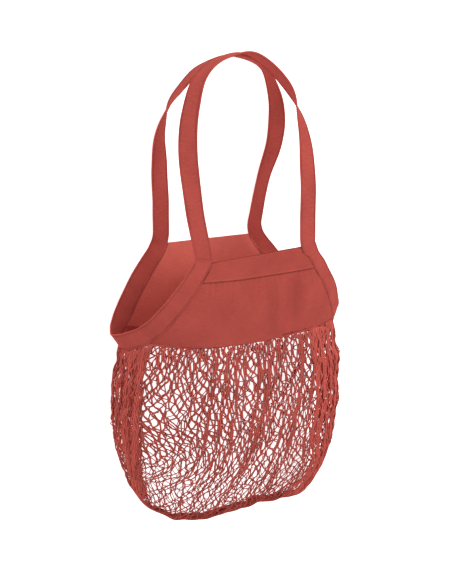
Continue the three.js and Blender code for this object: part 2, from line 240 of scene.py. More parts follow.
# Once round the loop: up the front handle's left leg, over, down its right leg, round the right
# scoop, up the back handle's right leg, over, down its left leg and round the left scoop.
ROUTE = (
    leg(Side.FRONT, -0.082, 0.084, 0.121, 0),
    leg(Side.FRONT, -0.083, 0.120, 0.112, 4),
    leg(Side.FRONT, -0.083, 0.167, 0.098, 11),
    leg(Side.FRONT, -0.079, 0.219, 0.082, 30),
    leg(Side.FRONT, -0.065, 0.269, 0.065, 52),
    leg(Side.FRONT, -0.038, 0.314, 0.049, 72),
    leg(Side.FRONT, 0.002, 0.337, 0.041, 76),
    leg(Side.FRONT, 0.048, 0.3405, 0.039, 82),
    leg(Side.FRONT, 0.091, 0.300, 0.056, 92),
    leg(Side.FRONT, 0.103, 0.249, 0.075, 150),
    leg(Side.FRONT, 0.099, 0.195, 0.094, 178),
    leg(Side.FRONT, 0.089, 0.143, 0.110, 181),
    leg(Side.FRONT, 0.081, 0.092, 0.121, 180),
    scoop(0.082, 0.071, 0.121, 0.86, 0.35, -0.36),
    scoop(0.097, 0.049, 0.119, 0.83, 0.42, -0.36),
    scoop(0.113, 0.028, 0.114, 0.79, 0.50, -0.35),
    scoop(0.128, 0.005, 0.107, 0.74, 0.60, -0.31),
    scoop(0.140, -0.017, 0.098, 0.70, 0.68, -0.28),
    scoop(0.151, -0.034, 0.087, 0.62, 0.76, -0.24),
    scoop(0.163, -0.042, 0.072, 0.50, 0.84, -0.20),
    scoop(0.171, -0.043, 0.055, 0.45, 0.88, -0.05),
    scoop(0.171, -0.041, 0.038, 0.48, 0.86, 0.05),
    scoop(0.161, -0.031, 0.022, 0.55, 0.82, 0.10),
    scoop(0.142, -0.012, 0.013, 0.62, 0.75, -0.05),
    scoop(0.122, 0.010, 0.010, 0.78, 0.60, -0.20),
    scoop(0.101, 0.036, 0.007, 0.88, 0.40, -0.15),
    scoop(0.081, 0.058, 0.004, 0.93, 0.25, -0.05),
    leg(Side.BACK, 0.0715, 0.092, 0.0018, 180),
    leg(Side.BACK, 0.072, 0.122, 0.0032, 187),
    leg(Side.BACK, 0.086, 0.173, 0.0034, 188),
    leg(Side.BACK, 0.104, 0.223, 0.0054, 163),
    leg(Side.BACK, 0.102, 0.275, 0.0125, 118),
    leg(Side.BACK, 0.082, 0.324, 0.0135, 82),
    leg(Side.BACK, 0.033, 0.341, 0.0135, 90),
    leg(Side.BACK, -0.017, 0.327, 0.0135, 95),
    leg(Side.BACK, -0.057, 0.292, 0.0138, 88),
    leg(Side.BACK, -0.080, 0.248, 0.0100, 40),
    leg(Side.BACK, -0.082, 0.194, 0.0034, 6),
    leg(Side.BACK, -0.082, 0.141, 0.0018, 0),
    leg(Side.BACK, -0.0835, 0.100, 0.0018, 0),
    scoop(-0.080, 0.076, 0.004, -0.95, 0.30, -0.10),
    scoop(-0.095, 0.058, 0.007, -0.93, 0.30, -0.18),
    scoop(-0.110, 0.039, 0.010, -0.92, 0.32, -0.28),
    scoop(-0.125, 0.016, 0.012, -0.88, 0.40, -0.30),
    scoop(-0.137, -0.004, 0.013, -0.78, 0.55, -0.20),
    scoop(-0.150, -0.019, 0.018, -0.62, 0.75, -0.05),
    scoop(-0.161, -0.030, 0.028, -0.56, 0.80, 0.05),
    scoop(-0.168, -0.036, 0.044, -0.52, 0.84, 0.00),
    scoop(-0.167, -0.036, 0.060, -0.47, 0.86, -0.15),
    scoop(-0.158, -0.031, 0.076, -0.42, 0.86, -0.30),
    scoop(-0.149, -0.023, 0.092, -0.45, 0.84, -0.35),
    scoop(-0.136, -0.010, 0.105, -0.52, 0.78, -0.32),
    scoop(-0.121, 0.008, 0.114, -0.62, 0.72, -0.25),
    scoop(-0.104, 0.029, 0.119, -0.72, 0.66, -0.15),
    scoop(-0.083, 0.055, 0.121, -0.85, 0.50, -0.10),
)


@dataclass
class TapeFrame:
    """The tape's cross-sections at several places of its route.

    Attributes:
        middle: The middles.
        along: Unit vectors along the route.
        across: Unit vectors from the sewn edge to the free edge.
        through: Unit vectors through the tape.
    """

    middle: Array
    along: Array
    across: Array
    through: Array


@dataclass
class TapeRoute:
    """The closed curve that the tape follows, counted in stations.

    Attributes:
        stations: The control points.
        width: The finished tape's width.
        fineness: How many points for each station the route is measured at.
    """

    stations: Sequence[Station] = ROUTE
    width: float = TAPE_WIDTH
    fineness: int = 40

    def __post_init__(self) -> None:
        """Keep the control points as arrays, and measure the route."""
        self.middles = np.array([station.middle for station in self.stations])
        self.middles[:, 0] += OUTLINE_SHIFT
        self.outwards = np.array([station.outward for station in self.stations])
        self.count = len(self.stations)
        self.marks = np.linspace(0, self.count, self.fineness * self.count + 1)
        self.lengths = walked(self._curve(self.middles, self.marks)[0])

    @property
    def length(self) -> float:
        """The whole loop's length."""
        return float(self.lengths[-1])

    def _curve(self, points: Array, station: Array) -> tuple[Array, Array]:
        """Follow a closed Catmull-Rom curve.

        Args:
            points: The curve's control points.
            station: Places on it, counted in control points.

        Returns:
            The points there and the slopes.
        """
        first = np.floor(station).astype(int)
        t = (station - first)[..., None]
        p0, p1, p2, p3 = (points[(first + shift) % self.count] for shift in (-1, 0, 1, 2))
        linear, square = p2 - p0, 2 * p0 - 5 * p1 + 4 * p2 - p3
        cubic = 3 * p1 - 3 * p2 + p3 - p0
        value = 0.5 * (2 * p1 + linear * t + square * t**2 + cubic * t**3)
        slope = 0.5 * (linear + 2 * square * t + 3 * cubic * t**2)
        return value, slope

    def frame(self, station: Array) -> TapeFrame:
        """Give the tape's cross-sections at places counted in stations.

        Args:
            station: Places counted in stations.

        Returns:
            The cross-sections there.
        """
        middle, slope = self._curve(self.middles, station)
        along = unit(slope)
        across = self._curve(self.outwards, station)[0]
        across = unit(across - along * np.sum(across * along, axis=-1, keepdims=True))
        return TapeFrame(middle, along, across, np.cross(along, across))

    def beside(self, station: Array, gap: float) -> Array:
        """Give points off the tape's sewn edge by a gap, which is below 0 under the tape."""
        frame = self.frame(station)
        return frame.middle - frame.across * (self.width / 2 + gap)

    def distance(self, station: Array) -> Array:
        """Give how far along the loop a place is, in metres."""
        return np.interp(station % self.count, self.marks, self.lengths)

    def station_at(self, distance: Array) -> Array:
        """Give the place that is so far along the loop."""
        return np.interp(distance % self.length, self.lengths, self.marks)


# ---- mesh helpers


def new_object(name: str, shell: bmesh.types.BMesh) -> bpy.types.Object:
    """Turn a shape into a smooth-shaded object at the origin, and free the shape.

    Args:
        name: The object's name.
        shell: The shape.

    Returns:
        The new object.
    """
    for face in shell.faces:
        face.smooth = True
    mesh = bpy.data.meshes.new(name)
    shell.to_mesh(mesh)
    shell.free()
    made = bpy.data.objects.new(name, mesh)
    bpy.context.scene.collection.objects.link(made)
    return made


def grid_piece(
    title: str,
    segments: tuple[int, int],
    place: Surface,
    maps: dict[str, Surface],
    outward: Vector | None = None,
) -> bpy.types.Object:
    """Make a grid of quads and lay it on a surface.

    Args:
        title: The piece's name.
        segments: How many quads across and along.
        place: Gives the surface's points for shares across and along.
        maps: Gives each UV map's coordinates there, in metres, by the map's name.
        outward: Roughly the way that an open sheet's face looks, or None for a closed shape, whose
            edges meet and are welded.

    Returns:
        The piece.
    """
    shell = bmesh.new()
    bmesh.ops.create_grid(shell, x_segments=segments[0], y_segments=segments[1], size=0.5)
    shell.verts.index_update()
    shares = np.array([vert.co[:2] for vert in shell.verts]) + 0.5
    for name, measure in maps.items():
        measured = measure(shares[:, 0], shares[:, 1])
        layer = shell.loops.layers.uv.new(name)
        for face in shell.faces:
            for loop in face.loops:
                loop[layer].uv = measured[loop.vert.index]
    for vert, point in zip(shell.verts, place(shares[:, 0], shares[:, 1])):
        vert.co = point
    if outward is None:
        bmesh.ops.remove_doubles(shell, verts=shell.verts, dist=SHEET_WELD)
    bmesh.ops.recalc_face_normals(shell, faces=shell.faces)
    if outward is not None:
        facing = sum((face.normal * face.calc_area() for face in shell.faces), Vector())
        if facing.dot(outward) < 0:
            bmesh.ops.reverse_faces(shell, faces=shell.faces)
    return new_object(title, shell)


@dataclass
class Yarn:
    """One length of flat knitted yarn.

    Attributes:
        middle: The points that its middle follows.
        outwards: Unit vectors through its flat side.
        half_width: Half its width at each point.
        half_depth: Half its thickness at each point.
    """

    middle: Array
    outwards: Array
    half_width: Array
    half_depth: Array

    def skin(self, index: Array, share: Array) -> Array:
        """Give points of the yarn's skin.

        Args:
            index: Which of its points each ring stands at.
            share: The share of the way round the ring.

        Returns:
            The points.
        """
        sideways = unit(np.cross(np.gradient(self.middle, axis=0), self.outwards))
        turn = 2 * math.pi * share
        wide = np.cos(turn) * self.half_width[index]
        deep = np.sin(turn) * self.half_depth[index]
        return (
            self.middle[index]
            + sideways[index] * wide[:, None]
            + self.outwards[index] * deep[:, None]
        )


def yarns_piece(name: str, yarns: Sequence[Yarn], sides: int) -> bpy.types.Object:
    """Join many yarns in one mesh: each is a grid that is rolled up and closed at its ends.

    Args:
        name: The piece's name.
        yarns: The yarns.
        sides: How many faces go round each.

    Returns:
        The piece.
    """
    shell = bmesh.new()
    for count, yarn in enumerate(yarns):
        bmesh.ops.create_grid(
            shell,
            x_segments=len(yarn.middle) - 1,
            y_segments=sides,
            size=0.5,
            matrix=Matrix.Translation((0, 0, count)),
        )
    mesh = bpy.data.meshes.new(name)
    shell.to_mesh(mesh)
    shell.free()
    flat = np.empty(3 * len(mesh.vertices))
    mesh.vertices.foreach_get("co", flat)
    flat = flat.reshape(-1, 3)
    place, yarn_map = np.empty_like(flat), np.empty((len(flat), 2))
    owner = np.rint(flat[:, 2]).astype(int)
    for count, yarn in enumerate(yarns):
        mine = owner == count
        index = np.rint((flat[mine, 0] + 0.5) * (len(yarn.middle) - 1)).astype(int)
        share = flat[mine, 1] + 0.5
        place[mine] = yarn.skin(index, share)
        yarn_map[mine] = np.column_stack([share, walked(yarn.middle)[index]])
    mesh.vertices.foreach_set("co", place.ravel())
    corners = np.empty(len(mesh.loops), dtype=np.int32)
    mesh.loops.foreach_get("vertex_index", corners)
    mesh.uv_layers.new(name=YARN_MAP).data.foreach_set("uv", yarn_map[corners].ravel())
    shell = bmesh.new()
    shell.from_mesh(mesh)
    bpy.data.meshes.remove(mesh)
    bmesh.ops.remove_doubles(shell, verts=shell.verts, dist=YARN_WELD)
    bmesh.ops.recalc_face_normals(shell, faces=shell.faces)
    return new_object(name, shell)


def laid_yarn(middle: Array, outwards: Array, half_width: Array, half_depth: Array) -> Yarn:
    """Keep a yarn of the net off the floor and close its ends.

    Args:
        middle: The points that its middle follows.
        outwards: Unit vectors through its flat side.
        half_width: Half its width at each point.
        half_depth: Half its thickness at each point.

    Returns:
        The yarn.
    """
    middle[:, 2] = np.maximum(middle[:, 2], LOWEST_YARN)
    half_width[[0, -1]] = half_depth[[0, -1]] = 0
    return Yarn(middle, outwards, half_width, half_depth)


@dataclass(frozen=True)
class Stitching:
    """Rows of stitches, each stitch a short piece of thread that rises out of the cloth.

    Attributes:
        pitch: From the start of one stitch to the start of the next.
        radius: Half the thread's thickness.
        places: Where the points of one stitch lie, as shares of the pitch.
        rises: How far out of the cloth they are, in radii.
        girths: How thick the thread is there, in radii.
    """

    pitch: float = 0.0032
    radius: float = 0.00024
    places: tuple[float, ...] = (0.0, 0.2, 0.6, 0.8)
    rises: tuple[float, ...] = (-0.5, 1.0, 1.0, -0.5)
    girths: tuple[float, ...] = (0.0, 1.0, 1.0, 0.0)

    def row(self, points: Array, outwards: Array) -> list[Yarn]:
        """Sew one row.

        Args:
            points: The line that the row follows on the cloth's face.
            outwards: Unit vectors out of the cloth there.

        Returns:
            One short yarn for each stitch.
        """
        along = walked(points)
        rise = np.array(self.rises)[:, None] * self.radius
        radius = np.array(self.girths) * self.radius
        yarns = []
        for number in range(int(along[-1] / self.pitch)):
            at = (number + np.array(self.places)) * self.pitch
            middle, outward = (
                np.column_stack([np.interp(at, along, column) for column in line.T])
                for line in (points, outwards)
            )
            yarns.append(Yarn(middle + outward * rise, unit(outward), radius, radius))
        return yarns


def thicken_inwards(piece: bpy.types.Object, thickness: float, group: str) -> None:
    """Give a sheet its thickness behind its face.

    Args:
        piece: The sheet.
        thickness: The full thickness.
        group: The vertex group that scales it.
    """
    solidify = piece.modifiers.new("thickness", "SOLIDIFY")
    solidify.thickness = thickness
    solidify.offset = -1
    solidify.use_rim = True
    solidify.vertex_group = group


# ---- finishes


def linear(red: int, green: int, blue: int) -> Colour:
    """Turn a colour of 0 to 255 a channel into linear light.

    Args:
        red: The red channel.
        green: The green channel.
        blue: The blue channel.

    Returns:
        The colour in linear light.
    """

    def channel(value: int) -> float:
        """Turn one channel."""
        share = value / 255
        return share / 12.92 if share <= 0.04045 else ((share + 0.055) / 1.055) ** 2.4

    return channel(red), channel(green), channel(blue)


def scaled(colour: Colour, factor: float) -> Colour:
    """Make a colour lighter or darker."""
    red, green, blue = (min(1.0, channel * factor) for channel in colour)
    return red, green, blue


@dataclass(frozen=True)
class Mottle:
    """One layer of cloudy unevenness in a finish.

    Attributes:
        scale: How fine it is.
        detail: How many finer layers it carries.
        tone: Its weight in the colour.
        relief: Its weight in the relief.
    """

    scale: float
    detail: float
    tone: float = 0.0
    relief: float = 0.0


@dataclass(frozen=True)
class Streak:
    """A line along an edge or along a row of stitches.

    Attributes:
        centre: How far from it the line's middle is.
        width: Over what distance the line falls away on both sides.
    """

    centre: float
    width: float


@dataclass(frozen=True)
class Bump:
    """How strongly a relief catches the light, and how high it stands."""

    strength: float
    distance: float


class NodeBoard:
    """A material's node tree, filled one node at a time."""

    def __init__(self, name: str) -> None:
        """Start a material that holds only its shader and its output.

        Args:
            name: The material's name.
        """
        self.material = bpy.data.materials.new(name)
        self.material.use_nodes = True
        self.tree = self.material.node_tree
        self.tree.nodes.clear()
        self.shader = self.add("ShaderNodeBsdfPrincipled")
        output = self.add("ShaderNodeOutputMaterial")
        self.tree.links.new(self.shader.outputs["BSDF"], output.inputs["Surface"])

    def add(self, kind: str, **settings: object) -> bpy.types.Node:
        """Add a node and set its plain properties.

        Args:
            kind: The node's type.
            **settings: Its properties.

        Returns:
            The node.
        """
        node = self.tree.nodes.new(kind)
        for key, value in settings.items():
            setattr(node, key, value)
        return node

    def feed(self, socket: bpy.types.NodeSocket, value: object) -> None:
        """Link a socket if the value is another node's output, and otherwise set it."""
        if isinstance(value, bpy.types.NodeSocket):
            self.tree.links.new(value, socket)
        else:
            socket.default_value = value

    def maths(self, operation: str, *numbers: object) -> bpy.types.NodeSocket:
        """Combine numbers.

        Args:
            operation: The node's operation.
            *numbers: One to three numbers or outputs.

        Returns:
            The result's socket.
        """
        node = self.add("ShaderNodeMath", operation=operation)
        for socket, number in zip(node.inputs, numbers):
            self.feed(socket, number)
        return node.outputs[0]

    def total(self, *terms: tuple[bpy.types.NodeSocket, float]) -> bpy.types.NodeSocket:
        """Add outputs up, each times its weight."""
        result: object = 0.0
        for socket, weight in terms:
            result = self.maths("MULTIPLY_ADD", socket, weight, result)
        return result

    def mapped(self, name: str) -> tuple[bpy.types.NodeSocket, bpy.types.NodeSocket]:
        """Give the two coordinates of a UV map."""
        split = self.add("ShaderNodeSeparateXYZ")
        self.feed(split.inputs[0], self.add("ShaderNodeUVMap", uv_map=name).outputs["UV"])
        return split.outputs["X"], split.outputs["Y"]

    def place(self) -> bpy.types.NodeSocket:
        """Give the place in the object's own coordinates."""
        return self.add("ShaderNodeTexCoord").outputs["Object"]

    def streak(self, distance: object, line: Streak) -> bpy.types.NodeSocket:
        """Give 1 where a distance is at the line's middle, falling away on both sides."""
        away = self.maths("DIVIDE", self.maths("SUBTRACT", distance, line.centre), line.width)
        return self.maths("EXPONENT", self.maths("MULTIPLY", self.maths("MULTIPLY", away, away), -1.0))

    def noise(self, place: object, mottle: Mottle) -> bpy.types.NodeSocket:
        """Add cloudy noise and give its value, from 0 to 1.

        Args:
            place: The output that gives the place.
            mottle: Its scale and its detail.

        Returns:
            The value's socket.
        """
        node = self.add("ShaderNodeTexNoise")
        self.feed(node.inputs["Vector"], place)
        node.inputs["Scale"].default_value = mottle.scale
        node.inputs["Detail"].default_value = mottle.detail
        return node.outputs["Fac"]

    def paint(self, tone: object, colour: Colour, stops: Sequence[tuple[float, float]]) -> None:
        """Let a tone make the surface's colour darker and lighter.

        Args:
            tone: The output that picks the shade.
            colour: The middle colour.
            stops: Tones from 0 to 1, each with the share of the colour that it gives.
        """
        node = self.add("ShaderNodeValToRGB")
        ladder = node.color_ramp.elements
        while len(ladder) < len(stops):
            ladder.new(stops[1][0])
        for stop, (place, factor) in zip(ladder, stops):
            stop.position = place
            stop.color = (*scaled(colour, factor), 1.0)
        self.feed(node.inputs["Fac"], tone)
        self.feed(self.shader.inputs["Base Color"], node.outputs["Color"])

    def raise_by(self, height: object, bump: Bump) -> None:
        """Let a height raise the surface's light and shade.

        Args:
            height: The output that gives the height.
            bump: How it shows.
        """
        node = self.add("ShaderNodeBump")
        node.inputs["Strength"].default_value = bump.strength
        node.inputs["Distance"].default_value = bump.distance
        self.feed(node.inputs["Height"], height)
        self.tree.links.new(node.outputs["Normal"], self.shader.inputs["Normal"])

    def gloss(self, roughness: float, level: float) -> None:
        """Set the surface's roughness and how much light it throws back."""
        self.shader.inputs["Roughness"].default_value = roughness
        self.shader.inputs["Specular IOR Level"].default_value = level


@dataclass(frozen=True)
class WovenFinish:
    """Woven cotton whose threads follow the cloth.

    Attributes:
        name: The material's name.
        colour: The cloth's colour, in linear light.
        thread: The distance from one thread to the next.
        slub: How much the threads' thickness shows in the colour.
        painted_edge_shading: How dark a line of painted shade the cloth has along its edges, standing
            in for the shade beside the tape and the net's seam; below 0 the edge is paler instead, a
            painted highlight.
        painted_crease_shade: How much darker the cloth is painted along the stitching, painted shade
            where the stitching draws it in.
        weave: The weight of the weave in the colour and in the relief.
        wander: How the threads wander.
        wander_turn: How far they do, in radians of the weave.
        slubs: The thick places of the threads.
        slub_scale: How fine these are across and along the cloth.
        clouds: The broad unevenness of the dye.
        grain: The unevenness from thread to thread.
        lint: The loose fibres.
        edge_shading_line: The painted line of shade along the cloth's edge, a painted highlight where
            border is below 0.
        stitch_line: The line along the stitching, where the cloth is drawn in and painted darker.
        crease_relief: How deep that is in the relief.
        ridge_highlight_line: The line beside it that is painted paler, a painted highlight; the relief
            doesn't raise it.
        painted_ridge_highlight: How pale that painted highlight is, as a share of the stitching's
            painted shade.
        tones: The tones that give the darkest, darker, plain and lighter colour.
        darkest: The darkest colour, as a share of the plain one.
        spread: How far the darker and lighter ones go, in slubs.
        bump: The weave's relief.
        roughness: The surface's roughness.
        shine: How much light it throws back.
    """

    name: str
    colour: Colour
    thread: float = 0.00085
    slub: float = 0.16
    painted_edge_shading: float = 0.9
    painted_crease_shade: float = 0.45
    weave: tuple[float, float] = (0.10, 0.6)
    wander: Mottle = Mottle(160.0, 2.0)
    wander_turn: float = 2.2
    slubs: Mottle = Mottle(1.0, 3.0, tone=0.30, relief=1.0)
    slub_scale: tuple[float, float, float] = (90.0, 900.0, 1.0)
    clouds: Mottle = Mottle(22.0, 3.0, tone=0.40)
    grain: Mottle = Mottle(430.0, 2.0, tone=0.20, relief=0.8)
    lint: Mottle = Mottle(1300.0, 2.0, tone=0.20, relief=0.5)
    edge_shading_line: Streak = Streak(0.0, 0.0008)
    stitch_line: Streak = Streak(0.0004, 0.0008)
    crease_relief: float = 1.5
    ridge_highlight_line: Streak = Streak(-0.0016, 0.0009)
    painted_ridge_highlight: float = 0.3
    tones: tuple[float, float, float, float] = (0.0, 0.30, 0.55, 0.80)
    darkest: float = 0.42
    spread: float = 1.6
    bump: Bump = Bump(0.6, 0.00022)
    roughness: float = 0.95
    shine: float = 0.03

    def material(self) -> bpy.types.Material:
        """Build the material.

        Returns:
            The material.
        """
        board = NodeBoard(self.name)
        cloth = board.add("ShaderNodeUVMap", uv_map=CLOTH_MAP).outputs["UV"]
        drift = board.maths("MULTIPLY", board.noise(cloth, self.wander), self.wander_turn)
        warp, weft = (
            board.maths("SINE", board.maths("MULTIPLY_ADD", along, math.pi / self.thread, drift))
            for along in board.mapped(CLOTH_MAP)
        )
        weave = board.maths("MULTIPLY", warp, weft)
        drawn_out = board.add("ShaderNodeMapping")
        board.feed(drawn_out.inputs["Vector"], cloth)
        drawn_out.inputs["Scale"].default_value = self.slub_scale
        layers = [(drawn_out.outputs[0], self.slubs)]
        layers += [(cloth, mottle) for mottle in (self.clouds, self.grain, self.lint)]
        layers = [(board.noise(place, mottle), mottle) for place, mottle in layers]
        edge, seam = board.mapped(SEWING_MAP)
        drawn_in = board.streak(seam, self.stitch_line)
        tone = board.total(
            (weave, self.weave[0]),
            *((noise, mottle.tone) for noise, mottle in layers),
            # Painted shade along the cloth's edges; on the tape, whose setting is below 0, a painted
            # highlight instead.
            (board.streak(edge, self.edge_shading_line), -self.painted_edge_shading),
            # Painted shade along the stitching, and a painted highlight beside it.
            (drawn_in, -self.painted_crease_shade),
            (board.streak(seam, self.ridge_highlight_line), self.painted_ridge_highlight * self.painted_crease_shade),
        )
        factors = (self.darkest, 1 - self.spread * self.slub, 1.0, 1 + self.spread * self.slub)
        board.paint(tone, self.colour, tuple(zip(self.tones, factors)))
        height = board.total(
            (weave, self.weave[1]),
            *((noise, mottle.relief) for noise, mottle in layers if mottle.relief),
            (drawn_in, -self.crease_relief),
        )
        board.raise_by(height, self.bump)
        board.gloss(self.roughness, self.shine)
        return board.material


@dataclass(frozen=True)
class YarnFinish:
    """Knitted cotton yarn or sewing thread.

    Attributes:
        name: The material's name.
        colour: The yarn's colour, in linear light.
        stitch: The length of one knitted loop.
        contrast: How much the colour differs from loop to loop.
        edge: How much darker the yarn's narrow sides are painted, painted shade standing in for the
            shade that falls on them.
        slant: How far the loops lag at the sides, in radians of a loop.
        loop_relief: The weight of the loops in the relief.
        fuzz: The loose fibres.
        clouds: The broad unevenness of the dye.
        stops: Tones, each with the share of the colour that it gives.
        bump: The loops' relief.
    """

    name: str
    colour: Colour
    stitch: float = 0.0021
    contrast: float = 0.20
    edge: float = 0.55
    slant: float = 3.0
    loop_relief: float = 1.0
    fuzz: Mottle = Mottle(1700.0, 3.0, tone=0.35, relief=0.8)
    clouds: Mottle = Mottle(32.0, 3.0, tone=0.65)
    stops: tuple[tuple[float, float], ...] = ((0.0, 0.50), (0.5, 1.0), (1.0, 1.40))
    bump: Bump = Bump(0.6, 0.0004)

    def material(self) -> bpy.types.Material:
        """Build the material.

        Returns:
            The material.
        """
        board = NodeBoard(self.name)
        share, metres = board.mapped(YARN_MAP)
        place = board.place()
        side = board.maths("ABSOLUTE", board.maths("COSINE", board.maths("MULTIPLY", share, math.tau)))
        loops = board.maths("SINE", board.total((metres, math.tau / self.stitch), (side, self.slant)))
        fuzz = board.noise(place, self.fuzz)
        tone = board.total(
            (loops, self.contrast),
            (fuzz, self.fuzz.tone),
            (board.noise(place, self.clouds), self.clouds.tone),
            # Painted shade: the yarn's narrow sides are darkened.
            (board.maths("MULTIPLY", side, side), -self.edge),
        )
        board.paint(tone, self.colour, self.stops)
        board.raise_by(board.total((fuzz, self.fuzz.relief), (loops, self.loop_relief)), self.bump)
        board.gloss(1.0, 0.0)
        return board.material


@dataclass(frozen=True)
class FloorFinish:
    """A plain white table surface that glows a little, as a lit sweep does.

    Attributes:
        name: The material's name.
        colour: The surface's colour.
        clouds: Its faint unevenness.
        darkest: Its darkest colour, as a share of the plain one.
        roughness: Its roughness.
        glow: The light that it gives off by itself.
    """

    name: str = "white_sweep"
    colour: Colour = (0.95, 0.95, 0.95)
    clouds: Mottle = Mottle(3.0, 1.0)
    darkest: float = 0.995
    roughness: float = 0.9
    glow: float = 0.8

    def material(self) -> bpy.types.Material:
        """Build the material.

        Returns:
            The material.
        """
        board = NodeBoard(self.name)
        clouds = board.noise(board.place(), self.clouds)
        board.paint(clouds, self.colour, ((0.0, self.darkest), (1.0, 1.0)))
        board.gloss(self.roughness, 0.0)
        board.shader.inputs["Emission Color"].default_value = (1.0, 1.0, 1.0, 1.0)
        board.shader.inputs["Emission Strength"].default_value = self.glow
        return board.material


class Finish(Enum):
    """The finishes of the bag."""

    # The tape's edges are painted paler, a painted highlight, and its stitching and join a little
    # darker, painted shade.
    TAPE = WovenFinish(
        "cotton_tape", linear(175, 77, 69), thread=0.0007, slub=0.20, painted_edge_shading=-0.15, painted_crease_shade=0.12
    )
    # The front canvas is painted darker along its edges and its stitching, painted shade, with a
    # painted highlight beside the hem's stitching.
    FRONT_CANVAS = WovenFinish("front_canvas", linear(169, 74, 66))
    # Painted light: the back panel is the front's canvas painted lighter, standing in for light inside
    # the bag's mouth; its edges carry painted shade.
    BACK_CANVAS = WovenFinish("back_canvas", linear(212, 107, 95), painted_edge_shading=0.55)
    # Every yarn finish below paints its yarn's narrow sides darker by edge: painted shade.
    NET_OPEN = YarnFinish("knit_open", linear(193, 91, 82), edge=0.70)
    # Painted light: the gathered side bands take the net's yarn painted lighter, standing in for the
    # light that falls on them.
    NET_GATHERED = YarnFinish("knit_gathered_painted_lighter", linear(208, 96, 86), edge=0.60)
    # Painted light and shade: the back layer inside the bag takes a copy of the net's yarn with its own
    # colour and less painted side shade, standing in for how light falls there.
    NET_INSIDE = YarnFinish("knit_inside_painted_light", linear(200, 88, 79), edge=0.35)
    NET_EDGE = YarnFinish("knit_edge", linear(182, 80, 72), edge=0.50)
    THREAD = YarnFinish("sewing_thread", linear(182, 84, 76), stitch=0.0012, contrast=0.08, edge=0.3)

    def dress(self, piece: bpy.types.Object) -> None:
        """Give a piece this finish, building its material the first time."""
        known = bpy.data.materials.get(self.value.name)
        piece.data.materials.clear()
        piece.data.materials.append(known or self.value.material())


def settle(piece: bpy.types.Object, finish: Finish, slot: str, *nodes: str) -> bpy.types.Object:
    """Dress a piece, let it ride on the bag and hide the CAD nodes that it stands for.

    Args:
        piece: The piece.
        finish: Its finish.
        slot: Not used.
        *nodes: The CAD nodes that it replaces.

    Returns:
        The same piece.
    """
    finish.dress(piece)
    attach(piece, BODY)
    if nodes:
        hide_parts(*nodes)
    LOG.info("%s: %d faces", piece.name, len(piece.data.polygons))
    return piece


# ---- tape


